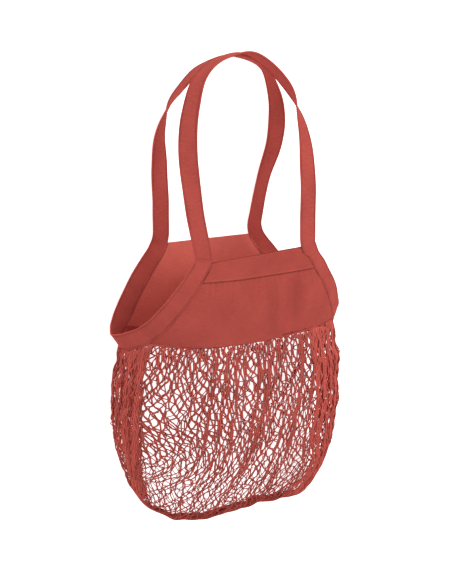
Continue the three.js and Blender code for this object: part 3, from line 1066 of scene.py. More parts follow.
@dataclass
class Tape:
    """The loop of folded tape.

    Attributes:
        route: Where it runs.
        thickness: Its thickness over the stitching.
        edge_swell: How much thicker the folded edges are.
        edge_width: How wide the folded edges are.
        steps: Quads along each station of the route.
        across_steps: Quads across each face.
        round_steps: Points round each edge.
        curl: How far the edges curl up and down.
        curling: How the curl changes along the loop.
        ring: The radius of the ring that the loop is laid on to curl without a break.
        stitching: The stitches.
        stitch_inset: How far in from the edges the stitching runs.
        stitch_step: The distance between the points that a row along the tape follows.
        join_points: How many points a row across the tape follows.
    """

    route: TapeRoute
    thickness: float = 0.0017
    edge_swell: float = 0.0003
    edge_width: float = 0.0022
    steps: int = 12
    across_steps: int = 16
    round_steps: int = 3
    curl: float = 0.0005
    curling: Ripple = Ripple(11, 0.045)
    ring: float = 0.31
    stitching: Stitching = Stitching()
    stitch_inset: float = 0.0022
    stitch_step: float = 0.004
    join_points: int = 9

    def __post_init__(self) -> None:
        """Work out the cross-section once."""
        self.section = self._section()

    def _section(self) -> Array:
        """Give the closed cross-section.

        Returns:
            Rows of across, through and distance round it.
        """
        half, edge = self.route.width / 2, self.thickness / 2
        places = np.cos(np.linspace(0, math.pi, self.across_steps + 1)) * (half - edge)
        swell = self.edge_swell * bell(np.abs(places), half - self.edge_width / 2, self.edge_width / 2)
        height = edge + swell
        upper = np.column_stack([places, height])
        turn = np.linspace(0, math.pi, self.round_steps + 2)[1:-1]
        reach = half - edge + np.sin(turn) * edge
        left = np.column_stack([-reach, np.cos(turn) * height[-1]])
        lower = np.column_stack([places[::-1], -height])
        right = np.column_stack([reach, -np.cos(turn) * height[0]])
        ring = np.concatenate([upper, left, lower, right, upper[:1]])
        return np.column_stack([ring, walked(ring)])

    def _ring(self, v: Array) -> Array:
        """Look the cross-section up at shares round it."""
        at = v * (len(self.section) - 1)
        known = np.arange(len(self.section))
        return np.column_stack([np.interp(at, known, column) for column in self.section.T])

    def surface(self, u: Array, v: Array) -> Array:
        """Give the tape's skin for a share along the loop and a share round the section.

        Args:
            u: Shares along the loop.
            v: Shares round the section.

        Returns:
            The points.
        """
        station = u * self.route.count
        frame = self.route.frame(station)
        across, through, _ = self._ring(v).T
        turn = u * 2 * math.pi
        wave = self.curling(np.cos(turn) * self.ring, np.sin(turn) * self.ring)
        edge = np.abs(across) / (self.route.width / 2)
        curl = self.curl * wave * edge**2
        return (
            frame.middle
            + frame.across * across[:, None]
            + frame.through * (through + curl)[:, None]
        )

    def flat(self, u: Array, v: Array) -> Array:
        """Give the tape's flat coordinates."""
        return np.column_stack([self._ring(v)[:, 2], u * self.route.length])

    def sewing(self, u: Array, v: Array) -> Array:
        """Give how far the tape's edge and its stitching are, or the loop's join where u is 0."""
        edge = self.route.width / 2 - np.abs(self._ring(v)[:, 0])
        join = np.minimum(u, 1 - u) * self.route.length
        return np.column_stack([edge, np.minimum(np.abs(edge - self.stitch_inset), join)])

    def stitches(self) -> list[Yarn]:
        """Lay the stitching on both faces along both edges, and across the loop's join.

        Returns:
            The stitches.
        """
        count = round(self.route.length / self.stitch_step)
        loop = self.route.frame(np.linspace(0, self.route.count, count))
        line = self.route.width / 2 - self.stitch_inset
        rows = [(loop, side * line) for side in (-1, 1)]
        for shift in (-self.stitch_inset, self.stitch_inset):
            join = self.route.frame(self.route.station_at(np.full(self.join_points, shift)))
            rows.append((join, np.linspace(-line, line, self.join_points)[:, None]))
        yarns = []
        for face in (-1, 1):
            for frame, across in rows:
                row = frame.middle + frame.across * across + frame.through * face * self.thickness / 2
                yarns += self.stitching.row(row, frame.through * face)
        return yarns

    def build(self) -> bpy.types.Object:
        """Make the tape and its stitches.

        Returns:
            The tape.
        """
        segments = (self.route.count * self.steps, len(self.section) - 1)
        maps = {CLOTH_MAP: self.flat, SEWING_MAP: self.sewing}
        tape = grid_piece("tape_loop", segments, self.surface, maps)
        settle(yarns_piece("tape_stitches", self.stitches(), THREAD_SIDES), Finish.THREAD, "tape")
        settle(tape, Finish.TAPE, "tape", "tape")
        return tape


# ---- panels


@dataclass(frozen=True)
class PanelCorners:
    """Where a panel's corners lie on the tape's route, counted in stations."""

    left_top: float
    left_foot: float
    right_top: float
    right_foot: float


FRONT_CORNERS = PanelCorners(54.90, 50.0, 12.13, 18.0)
BACK_CORNERS = PanelCorners(39.29, 45.0, 27.03, 22.0)

SEAM_LEVEL = -0.038
FRONT_DEPTH = 0.1185
BACK_LEVEL = 0.0006


def off_centre(u: Array) -> Array:
    """Give 0 in the middle of a panel and 1 at either side edge."""
    return np.abs(2 * u - 1)


@dataclass
class Panel:
    """A woven panel between the tape's two scoops.

    Attributes:
        route: The tape that binds its sides.
        corners: Its corners on the route.
        tuck: How far its sides reach in under the tape.
        seam_gap: How far from the tape's sewn edge its lower edge ends.
        thickness: One layer of canvas.
        hem_thickness: The folded hem.
        hem_share: The part of the panel's height that the hem takes.
        hem_slant: How much more of the height it takes at the right end than at the left.
        hem_rows: The parts of the grid's rows that end just above and just below the hem's stitching.
        hem_reach: How far above and below it these end, as a share of the height.
        segments: Quads across and along.
        cut_size: The canvas that the panel is cut from, laid flat; not used.
        cut_area: The panel's own area, laid flat; not used.
        top_width: The width at the top.
        widening: How much wider the panel is at its seam.
        height: The height.
        stitching: The stitches.
        stitch_ends: Where the hem's stitching starts and ends, as shares across.
        stitch_points: How many points it follows.
    """

    route: TapeRoute
    corners: PanelCorners
    tuck: float = 0.003
    seam_gap: float = 0.0008
    thickness: float = 0.0011
    hem_thickness: float = 0.0021
    hem_share: float = 0.235
    hem_slant: float = 0.085
    hem_rows: tuple[float, float] = (0.12, 0.26)
    hem_reach: float = 0.02
    segments: tuple[int, int] = (150, 120)
    cut_size: tuple[float, float] = (0.32, 0.145)
    cut_area: float = 0.0300
    top_width: float = 0.14
    widening: float = 0.165
    height: float = 0.118
    stitching: Stitching = Stitching()
    stitch_ends: tuple[float, float] = (0.02, 0.98)
    stitch_points: int = 80

    def side_edge(self, v: Array, left: bool, gap: float) -> Array:
        """Give points along one side edge, v running from the top to the seam.

        Args:
            v: Shares down, from the top.
            left: Whether it is the left edge.
            gap: How far from the tape's sewn edge they lie, below 0 for under the tape.

        Returns:
            The points.
        """
        if left:
            top, foot = self.corners.left_top, self.corners.left_foot
        else:
            top, foot = self.corners.right_top, self.corners.right_foot
        return self.route.beside(top + (foot - top) * v, gap)

    def ends(self, v: Array, gap: float) -> tuple[Array, Array]:
        """Give points along both side edges."""
        return self.side_edge(v, True, gap), self.side_edge(v, False, gap)

    def across(self, u: Array, v: float, gap: float) -> Array:
        """Give the straight line from one side edge to the other at one share down them."""
        left, right = self.ends(np.full_like(u, v), gap)
        return mix(left, right, u)

    def seam(self, u: Array, gap: float | None = None) -> Array:
        """Give the lower edge, which the net hangs from, drawn level in its middle.

        Args:
            u: Shares across.
            gap: How far from the tape's sewn edge it ends, or None for the usual gap.

        Returns:
            The points.
        """
        edge = self.across(u, 1.0, self.seam_gap if gap is None else gap)
        edge[:, 1] += (SEAM_LEVEL - edge[:, 1]) * (1 - off_centre(u) ** 2)
        edge[:, 2] = self.seam_height(u, edge[:, 2])
        return edge

    def seam_height(self, u: Array, straight: Array) -> Array:
        """Give the lower edge's height from what it would be on a straight line."""
        raise NotImplementedError

    def patch(self, u: Array, v: Array) -> Array:
        """Give the smooth panel between its straight top, its two bound sides and its seam.

        Args:
            u: Shares across, from the left.
            v: Shares down, from the top.

        Returns:
            The points.
        """
        gap = -self.tuck
        left, right = self.ends(v, gap)
        top, foot = self.across(u, 0.0, gap), self.across(u, 1.0, gap)
        bulge = mix(left, right, u) - mix(top, foot, v)
        bulge[:, 2] *= off_centre(u) ** 2
        return mix(top, self.seam(u, gap), v) + bulge

    def hem(self, u: Array) -> Array:
        """Give the share of the panel's height at which the hem ends."""
        return self.hem_share + self.hem_slant * (u - 0.5)

    def rows(self, u: Array, row: Array) -> Array:
        """Turn rows of the grid, which crowd where the hem ends, into shares of the height.

        Args:
            u: Shares across, from the left.
            row: Shares of the grid's rows, from the top.

        Returns:
            Shares down, from the top.
        """
        around = (self.hem_share - self.hem_reach, self.hem_share + self.hem_reach)
        at = np.interp(row, (0.0, *self.hem_rows, 1.0), (0.0, *around, 1.0))
        slant = np.minimum(at / self.hem_share, (1 - at) / (1 - self.hem_share))
        return at + (self.hem(u) - self.hem_share) * slant

    def spans(self, u: Array, at: Array) -> tuple[Array, Array]:
        """Give the panel's width at shares down it, and its height at shares across it."""
        left, right = self.ends(at, 0.0)
        height = np.linalg.norm(self.seam(u) - self.patch(u, 0 * at), axis=1)
        return np.linalg.norm(right - left, axis=1), height

    def flat(self, u: Array, v: Array) -> Array:
        """Give the cloth's flat coordinates: threads run level and upright."""
        at = self.rows(u, v)
        width, height = self.spans(u, at)
        return np.column_stack([(u - 0.5) * width, at * height])

    def sewing(self, u: Array, v: Array) -> Array:
        """Give how far the tape, or the net's seam, and the hem's stitching are: 0 along the top edge.

        Args:
            u: Shares across, from the left.
            v: Shares of the grid's rows, from the top.

        Returns:
            Both distances for each place.
        """
        at = self.rows(u, v)
        width, height = self.spans(u, at)
        height = np.where(at > 0, height, 0.0)
        side = np.minimum(u, 1 - u) * width - self.tuck
        return np.column_stack([np.minimum(side, (1 - at) * height), (at - self.hem(u)) * height])

    def laid_out(self, u: Array, v: Array) -> tuple[Array, Array]:
        """Give about how far to the right of the middle and down from the top places are."""
        return (u - 0.5) * (self.top_width + self.widening * v), v * self.height

    def finish(self, piece: bpy.types.Object, finish: Finish, node: str) -> bpy.types.Object:
        """Args:
            piece: The panel's face.
            finish: Its finish.
            node: The CAD node that it replaces.

        Returns:
            The same piece.
        """
        doubled = piece.vertex_groups.new(name="hem")
        columns, rows = self.segments
        across = np.tile(np.linspace(0, 1, columns + 1), rows + 1)
        down = np.repeat(np.linspace(0, 1, rows + 1), columns + 1)
        in_hem = self.rows(across, down) <= self.hem(across)
        for folded, weight in ((True, 1.0), (False, self.thickness / self.hem_thickness)):
            doubled.add(np.flatnonzero(in_hem == folded).tolist(), weight, "REPLACE")
        thicken_inwards(piece, self.hem_thickness, doubled.name)
        settle(piece, finish, "woven_cloth", node)
        return piece


@dataclass(frozen=True)
class Fold:
    """A soft upright fold of the front panel.

    Attributes:
        place: How far to the right of the middle it runs.
        width: Over what distance it falls away on both sides.
        height: How far it stands out, below 0 for a hollow.
    """

    place: float
    width: float
    height: float


@dataclass(frozen=True)
class Pucker:
    """Fine unevenness of the front panel.

    Attributes:
        wave: Its waves.
        drawn_out: How much it is drawn out down the cloth, as a share of its pitch across.
        height: How far it stands out.
    """

    wave: Ripple
    drawn_out: float
    height: float

    def __call__(self, x: Array, y: Array) -> Array:
        """Give how far the cloth stands out."""
        return self.height * self.wave(x, y * self.drawn_out)


@dataclass
class FrontPanel(Panel):
    """The raised front panel, with a folded hem along its top.

    Attributes:
        seam_power: How flat the bow of its seam is over the bag's opening.
        folds: Its soft folds.
        fold_start: How far below the hem these are full, as a share of the height.
        fold_end: Where they start to fade towards the seam, and how much.
        waves: Broad unevenness.
        tugs: Puckers that the hem's stitching draws.
        tug_start: Where these start, in shares of the height below the hem's stitching.
        tug_reach: How far down they reach.
        gathers: Puckers along the net's seam.
        gather_start: The share of the height at which those start.
        groove: The width, as a share of the height, and the depth of the line of stitching.
        hem_step: How far the hem stands out over the single cloth.
        step_span: Where that ends, in shares of the height below the stitching.
        flat_edge: The shares across at either side over which the unevenness grows.
    """

    seam_power: float = 3.2
    folds: tuple[Fold, ...] = (
        Fold(0.030, 0.012, 0.0042),
        Fold(0.052, 0.010, -0.0040),
        Fold(0.074, 0.012, 0.0030),
    )
    fold_start: float = 0.15
    fold_end: tuple[float, float] = (0.75, 0.6)
    waves: Pucker = Pucker(Ripple(21, 0.075), 0.6, 0.0008)
    tugs: Pucker = Pucker(Ripple(22, 0.0085), 0.12, 0.00042)
    tug_start: tuple[float, float] = (-0.002, 0.01)
    tug_reach: float = 0.014
    gathers: Pucker = Pucker(Ripple(23, 0.010), 0.1, 0.0004)
    gather_start: float = 0.86
    groove: tuple[float, float] = (0.006, -0.00035)
    hem_step: float = 0.0004
    step_span: tuple[float, float] = (0.003, 0.009)
    flat_edge: float = 0.12

    def seam_height(self, u: Array, straight: Array) -> Array:
        """Bow the lower edge up over the bag's opening."""
        return straight + (FRONT_DEPTH - straight) * (1 - off_centre(u) ** self.seam_power)

    def relief(self, u: Array, v: Array) -> Array:
        """Give how far the cloth stands out: soft folds, the hem's stitching and puckers.

        Args:
            u: Shares across, from the left.
            v: Shares down, from the top.

        Returns:
            The distances.
        """
        x, y = self.laid_out(u, v)
        past = v - self.hem(u)
        below = np.maximum(0, past)
        fade_start, fade = self.fold_end
        folds = sum(fold.height * bell(x, fold.place, fold.width) for fold in self.folds)
        folds = folds * ramp(below, 0.0, self.fold_start) * (1 - fade * ramp(v, fade_start, 1.0))
        tugs = self.tugs(x, y) * np.exp(-below * self.height / self.tug_reach)
        tugs = tugs * ramp(past, *self.tug_start)
        gathers = self.gathers(x, y) * ramp(v, self.gather_start, 1.0)
        uneven = folds + self.waves(x, y) + tugs + gathers
        groove = self.groove[1] * bell(past, 0.0, self.groove[0])
        step = self.hem_step * (1 - ramp(past, *self.step_span))
        return ramp(1 - off_centre(u), 0.0, self.flat_edge) * uneven + groove + step

    def stitches(self) -> list[Yarn]:
        """Lay the hem's stitching on the panel's outer face."""
        u = np.linspace(*self.stitch_ends, self.stitch_points)
        v = np.full_like(u, sum(self.hem_rows) / 2)
        normal = surface_normals(self.surface, u, v)
        return self.stitching.row(self.surface(u, v), normal * np.sign(normal[:, 2:3]))

    def surface(self, u: Array, v: Array) -> Array:
        """Give the panel's outer face.

        Args:
            u: Shares across, from the left.
            v: Shares of the grid's rows, from the top.

        Returns:
            The points.
        """
        at = self.rows(u, v)
        normal = surface_normals(self.patch, u, at)
        normal *= np.sign(normal[:, 2:3])
        return self.patch(u, at) + normal * (self.relief(u, at) + self.thickness / 2)[:, None]

    def build(self) -> bpy.types.Object:
        """Make the front panel.

        Returns:
            The panel.
        """
        maps = {CLOTH_MAP: self.flat, SEWING_MAP: self.sewing}
        panel = grid_piece("canvas_front", self.segments, self.surface, maps, Vector((0, 0, 1)))
        stitches = yarns_piece("front_hem_stitches", self.stitches(), THREAD_SIDES)
        settle(stitches, Finish.THREAD, "woven_cloth")
        return self.finish(panel, Finish.FRONT_CANVAS, "panel_front")


@dataclass
class BackPanel(Panel):
    """The back panel, which lies flat on the floor between its turned-up edges.

    Attributes:
        level_part: The part of its width that lies level.
        waves: Its broad unevenness.
        wave_height: How far this lifts it.
        wave_span: The height of the cloth that the waves are laid on.
        flat_edge: The shares across at either side over which the unevenness grows.
    """

    level_part: float = 0.66
    waves: Ripple = Ripple(31, 0.07)
    wave_height: float = 0.0006
    wave_span: float = 0.08
    flat_edge: float = 0.2

    def turn_up(self, u: Array) -> Array:
        """Give 1 at either side edge, falling to 0 where the level part starts."""
        return np.maximum(0, (off_centre(u) - self.level_part) / (1 - self.level_part)) ** 2

    def seam_height(self, u: Array, straight: Array) -> Array:
        """Lay the lower edge on the floor, turned up a little at the scoops."""
        return BACK_LEVEL + (straight - BACK_LEVEL) * self.turn_up(u)

    def hem(self, u: Array) -> Array:
        """Give a share above the panel's top: its hem doesn't show inside the bag."""
        return np.full_like(u, -1.0)

    def rows(self, u: Array, row: Array) -> Array:
        """Space the grid's rows evenly."""
        return row

    def surface(self, u: Array, v: Array) -> Array:
        """Give the middle of the cloth.

        Args:
            u: Shares across, from the left.
            v: Shares of the grid's rows, from the top.

        Returns:
            The points.
        """
        at = self.rows(u, v)
        point = self.patch(u, at)
        left, right = self.ends(at, -self.tuck)
        lift = np.where(u < 0.5, left[:, 2], right[:, 2]) - BACK_LEVEL
        wave = 1 + self.waves(self.laid_out(u, at)[0], at * self.wave_span)
        wave = self.wave_height * wave * ramp(1 - off_centre(u), 0, self.flat_edge)
        point[:, 2] = BACK_LEVEL + np.maximum(0, lift) * self.turn_up(u) + np.maximum(0, wave)
        return point

    def build(self) -> bpy.types.Object:
        """Make the back panel.

        Returns:
            The panel.
        """
        maps = {CLOTH_MAP: self.flat, SEWING_MAP: self.sewing}
        panel = grid_piece("canvas_back", self.segments, self.surface, maps, Vector((0, 0, -1)))
        # The back panel's canvas is painted lighter: painted light.
        return self.finish(panel, Finish.BACK_CANVAS, "panel_back")


# ---- net pouch


@dataclass
class NetShape:
    """The pouch's smooth form, before its yarn is laid on it.

    Attributes:
        route: The tape that the net's top edge is sewn to.
        front: The front panel.
        back: The back panel.
        rim_points: How many points each stretch of the sewn edge is kept in.
        wall: The net's thickness.
        tape_gap: How far from the tape's sewn edge the net starts.
        sewing_gap: How far down from the sewn edge it starts, below 0 for under it.
        rim_half_width: Half the pouch's width at the rim.
        belly: How fast it widens below the rim, at the left and at the right.
        bottom_half_width: Half its width at the bottom, at the left and at the right.
        narrowing_power: How late it narrows again, at the left and at the right.
        bottom_level: Where the bottom seam lies at its middle.
        bottom_height: The height of the bottom seam.
        bottom_rise: How far the seam's corners rise, at the left and at the right.
        rise_power: How near the corners that starts, at the left and at the right.
        closing_powers: How late, and then how steeply, the pouch closes towards the bottom.
        section_powers: How square its section is, across and up.
        level_part: The part of the section's height that lies flat on the floor.
        rim_reach: The share of the way down at which the rim's own line has faded out.
        scallops: The unevenness of the bottom seam.
        scallop_wave: How that goes along the seam.
        sag: How far the seam's right corner hangs down.
        sag_span: The middle and the width of that, as shares across.
        slope_step: The step over which the wall's slopes are taken, as an angle or a share.
    """

    route: TapeRoute
    front: FrontPanel
    back: BackPanel
    rim_points: int = 60
    wall: float = 0.0024
    tape_gap: float = 0.0008
    sewing_gap: float = -0.0018
    rim_half_width: float = 0.171
    belly: tuple[float, float] = (0.082, 0.024)
    bottom_half_width: tuple[float, float] = (0.148, 0.170)
    narrowing_power: tuple[float, float] = (1.9, 3.0)
    bottom_level: float = -0.3443
    bottom_height: float = 0.0075
    bottom_rise: tuple[float, float] = (0.084, 0.016)
    rise_power: tuple[float, float] = (2.6, 11.0)
    closing_powers: tuple[float, float] = (2.6, 0.8)
    section_powers: tuple[float, float] = (0.86, 0.8)
    level_part: float = 0.07
    rim_reach: float = 0.25
    scallops: float = 0.0012
    scallop_wave: Ripple = Ripple(61, 0.035)
    sag: float = 0.008
    sag_span: tuple[float, float] = (0.82, 0.22)
    slope_step: float = 0.01

    def __post_init__(self) -> None:
        """Keep the sewn top edge as two lists of points, ordered from left to right."""
        shares = np.linspace(0, 1, self.rim_points)
        corners, other = self.front.corners, self.back.corners
        left_middle = (corners.left_foot + other.left_foot) / 2
        right_middle = (corners.right_foot + other.right_foot) / 2

        def bound(start: float, end: float) -> Array:
            """Give the points along the tape from one station to another."""
            return self.route.beside(start + (end - start) * shares, self.tape_gap)

        self.rims = {}
        for side, panel in ((Side.FRONT, self.front), (Side.BACK, self.back)):
            left = bound(left_middle, panel.corners.left_foot)[:-1]
            right = bound(panel.corners.right_foot, right_middle)
            points = np.concatenate([left, panel.seam(shares)[:-1], right])
            ordered = points[np.argsort(points[:, 0])]
            self.rims[side] = ordered - (OUTLINE_SHIFT, self.sewing_gap, 0)
        self.widest = max(np.abs(points[:, 0]).max() for points in self.rims.values())

    def half_width(self, across: Array, v: Array) -> Array:
        """Give half the pouch's width, which differs from the left side to the right one.

        Args:
            across: Shares across the pouch, from -1 at the left to 1 at the right.
            v: Shares of the way from the rim to the bottom.

        Returns:
            The half widths.
        """
        rightness = (1 + across) / 2
        belly, bottom, power = (
            pair[0] + (pair[1] - pair[0]) * rightness
            for pair in (self.belly, self.bottom_half_width, self.narrowing_power)
        )
        narrowing = self.rim_half_width + belly - bottom
        return self.rim_half_width + belly * v - narrowing * v**power

    def height(self, v: Array) -> Array:
        """Give the pouch's height at a share of the way to the bottom."""
        late, steep = self.closing_powers
        closing = (1 - np.clip(v, 0, 1) ** late) ** steep
        return self.bottom_height + (FRONT_DEPTH - self.bottom_height) * closing

    def section(self, angle: Array) -> tuple[Array, Array]:
        """Give the rounded section's shares across and up; the angle is 0 at the right side.

        Args:
            angle: Angles round the pouch, 0 at the right side.

        Returns:
            Shares across, from -1 to 1, and shares up.
        """
        across, up = (
            np.sign(way) * np.abs(way) ** power
            for way, power in zip((np.cos(angle), np.sin(angle)), self.section_powers)
        )
        dome = (1 + up) / 2
        return across, np.maximum(0, (dome - self.level_part) / (1 - self.level_part))

    def rim(self, angle: Array) -> Array:
        """Give the sewn top edge's point for an angle round the pouch.

        Args:
            angle: Angles round the pouch, 0 at the right side.

        Returns:
            The points.
        """
        across = self.section(angle)[0] * self.widest
        front, back = (
            np.column_stack([np.interp(across, points[:, 0], column) for column in points.T])
            for points in (self.rims[Side.FRONT], self.rims[Side.BACK])
        )
        return np.where((np.sin(angle) >= 0)[:, None], front, back)

    def surface(self, angle: Array, v: Array) -> Array:
        """Give the middle of the net's wall.

        Args:
            angle: Angles round the pouch, 0 at the right side and a quarter turn at the front.
            v: Shares of the way from the rim to the bottom seam.

        Returns:
            The points.
        """
        across, up = self.section(angle)
        x, z = self.half_width(across, v) * across, self.height(v) * up
        first_x, first_z = self.rim_half_width * across, self.height(0 * v) * up
        edge = self.rim(angle)
        floor = self.wall / 2
        fade = np.maximum(0, 1 - v / self.rim_reach) ** 2
        rise = np.where(across < 0, *self.bottom_rise)
        power = np.where(across < 0, *self.rise_power)
        bottom = self.bottom_level + rise * np.abs(across) ** power
        bottom = bottom + self.scallops * (1 + self.scallop_wave(x, 0 * x))
        bottom = bottom - self.sag * bell(across, *self.sag_span)
        y = edge[:, 1] + (bottom - edge[:, 1]) * v
        x = x + (edge[:, 0] - first_x) * fade
        z = z + floor + (edge[:, 2] - first_z - floor) * fade
        return np.column_stack([x + OUTLINE_SHIFT, y, np.maximum(z, floor)])

    def slopes(self, angle: Array, v: Array) -> tuple[Array, Array]:
        """Give small steps on the wall: round the pouch, and down it.

        Args:
            angle: Angles round the pouch, 0 at the right side.
            v: Shares of the way down the pouch.

        Returns:
            The steps.
        """
        before, after = np.maximum(v - self.slope_step, 0), np.minimum(v + self.slope_step, 1)
        sideways = self.surface(angle + self.slope_step, v) - self.surface(angle, v)
        return sideways, self.surface(angle, after) - self.surface(angle, before)


@dataclass(frozen=True)
class Spacing:
    """How the net's chains hang at one place of the pouch's girth, in millimetres.

    Attributes:
        angle: The place, in degrees.
        top: How far apart they are at the sewn edge.
        middle: How far apart they are halfway down.
        low: How far apart they are near the bottom.
        width: How wide a chain is.
    """

    angle: float
    top: float
    middle: float
    low: float
    width: float


# The net runs together in both sides of the lying pouch, and spreads over its front and back.
SPACINGS = (
    Spacing(0, 1.9, 1.8, 3.0, 3.2),
    Spacing(12, 1.9, 1.8, 1.3, 3.8),
    Spacing(28, 1.9, 1.8, 1.3, 3.8),
    Spacing(40, 1.9, 1.8, 3.2, 3.6),
    Spacing(54, 2.0, 2.0, 5.0, 3.5),
    Spacing(62, 3.0, 3.2, 5.8, 3.1),
    Spacing(85, 3.2, 3.5, 6.2, 3.1),
    Spacing(108, 3.5, 3.8, 6.6, 3.0),
    Spacing(120, 3.6, 5.0, 7.0, 2.7),
    Spacing(145, 3.4, 5.4, 7.0, 2.6),
    Spacing(149, 2.2, 2.2, 3.0, 3.0),
    Spacing(153, 1.9, 1.6, 1.1, 3.2),
    Spacing(165, 1.9, 1.6, 1.1, 2.8),
    Spacing(171, 1.9, 1.7, 3.6, 2.2),
    Spacing(195, 1.9, 1.8, 4.4, 2.1),
    Spacing(224, 2.0, 2.0, 4.4, 2.3),
    Spacing(231, 2.6, 6.4, 7.8, 1.9),
    Spacing(250, 4.4, 7.8, 8.4, 1.9),
    Spacing(275, 6.2, 7.8, 8.4, 1.9),
    Spacing(334, 5.8, 7.4, 8.4, 1.9),
    Spacing(341, 2.4, 2.4, 4.6, 2.8),
    Spacing(350, 2.0, 1.9, 4.0, 3.0),
    Spacing(360, 1.9, 1.8, 3.0, 3.2),
)


@dataclass(frozen=True)
class Pinch:
    """A place where the net has drawn together into a star.

    Attributes:
        angle: Its place round the pouch, in degrees.
        depth: Its share of the way down.
        reach: How far it pulls, in metres.
        pull: How much of the distance it takes away.
    """

    angle: float
    depth: float
    reach: float = 0.009
    pull: float = 0.7


PINCHES = (
    Pinch(131, 0.56),
    Pinch(101, 0.81),
    Pinch(90, 0.76),
    Pinch(118, 0.30, 0.007),
    Pinch(72, 0.42, 0.008),
    Pinch(80, 0.60, 0.007),
    Pinch(140, 0.72, 0.008),
)


@dataclass(frozen=True)
class Sway:
    """How the whole net is shifted from place to place.

    Attributes:
        wave: Its waves, with a wavelength counted in chains.
        drawn_out: How fast it changes from row to row, as a share of that from chain to chain.
        amount: How far it shifts the net, in chains or in rows.
        heading: Which way across the waves the rows run.
    """

    wave: Ripple
    drawn_out: float
    amount: float
    heading: tuple[float, float] = (0.55, 0.83)

    def shift(self, x: Array, y: Array, row: Array) -> Array:
        """Give the shift of places on the net's ring, at x and y, and at a row."""
        (ahead, aside), down = self.heading, row * self.drawn_out
        return self.amount * self.wave(x + ahead * down, y + aside * down)


SIDEWAYS = (
    Sway(Ripple(41, 22.0), 0.8, 0.60),
    Sway(Ripple(42, 9.0), 0.5, 0.34),
    Sway(Ripple(45, 4.5), 0.35, 0.26),
)
DOWNWARDS = (Sway(Ripple(43, 20.0), 1.0, 0.45), Sway(Ripple(44, 7.0), 1.1, 0.30))


class NetPart(Enum):
    """The parts that the pouch is made in: first and last angle in degrees, and the finish."""

    # The gathered side parts and the back part take copies of the net's yarn whose colours are set
    # apart as painted light.
    NET_RIGHT = (-20.0, 57.0, Finish.NET_GATHERED)
    NET_FRONT = (57.0, 150.0, Finish.NET_OPEN)
    NET_LEFT = (150.0, 218.0, Finish.NET_GATHERED)
    NET_BACK = (218.0, 340.0, Finish.NET_INSIDE)


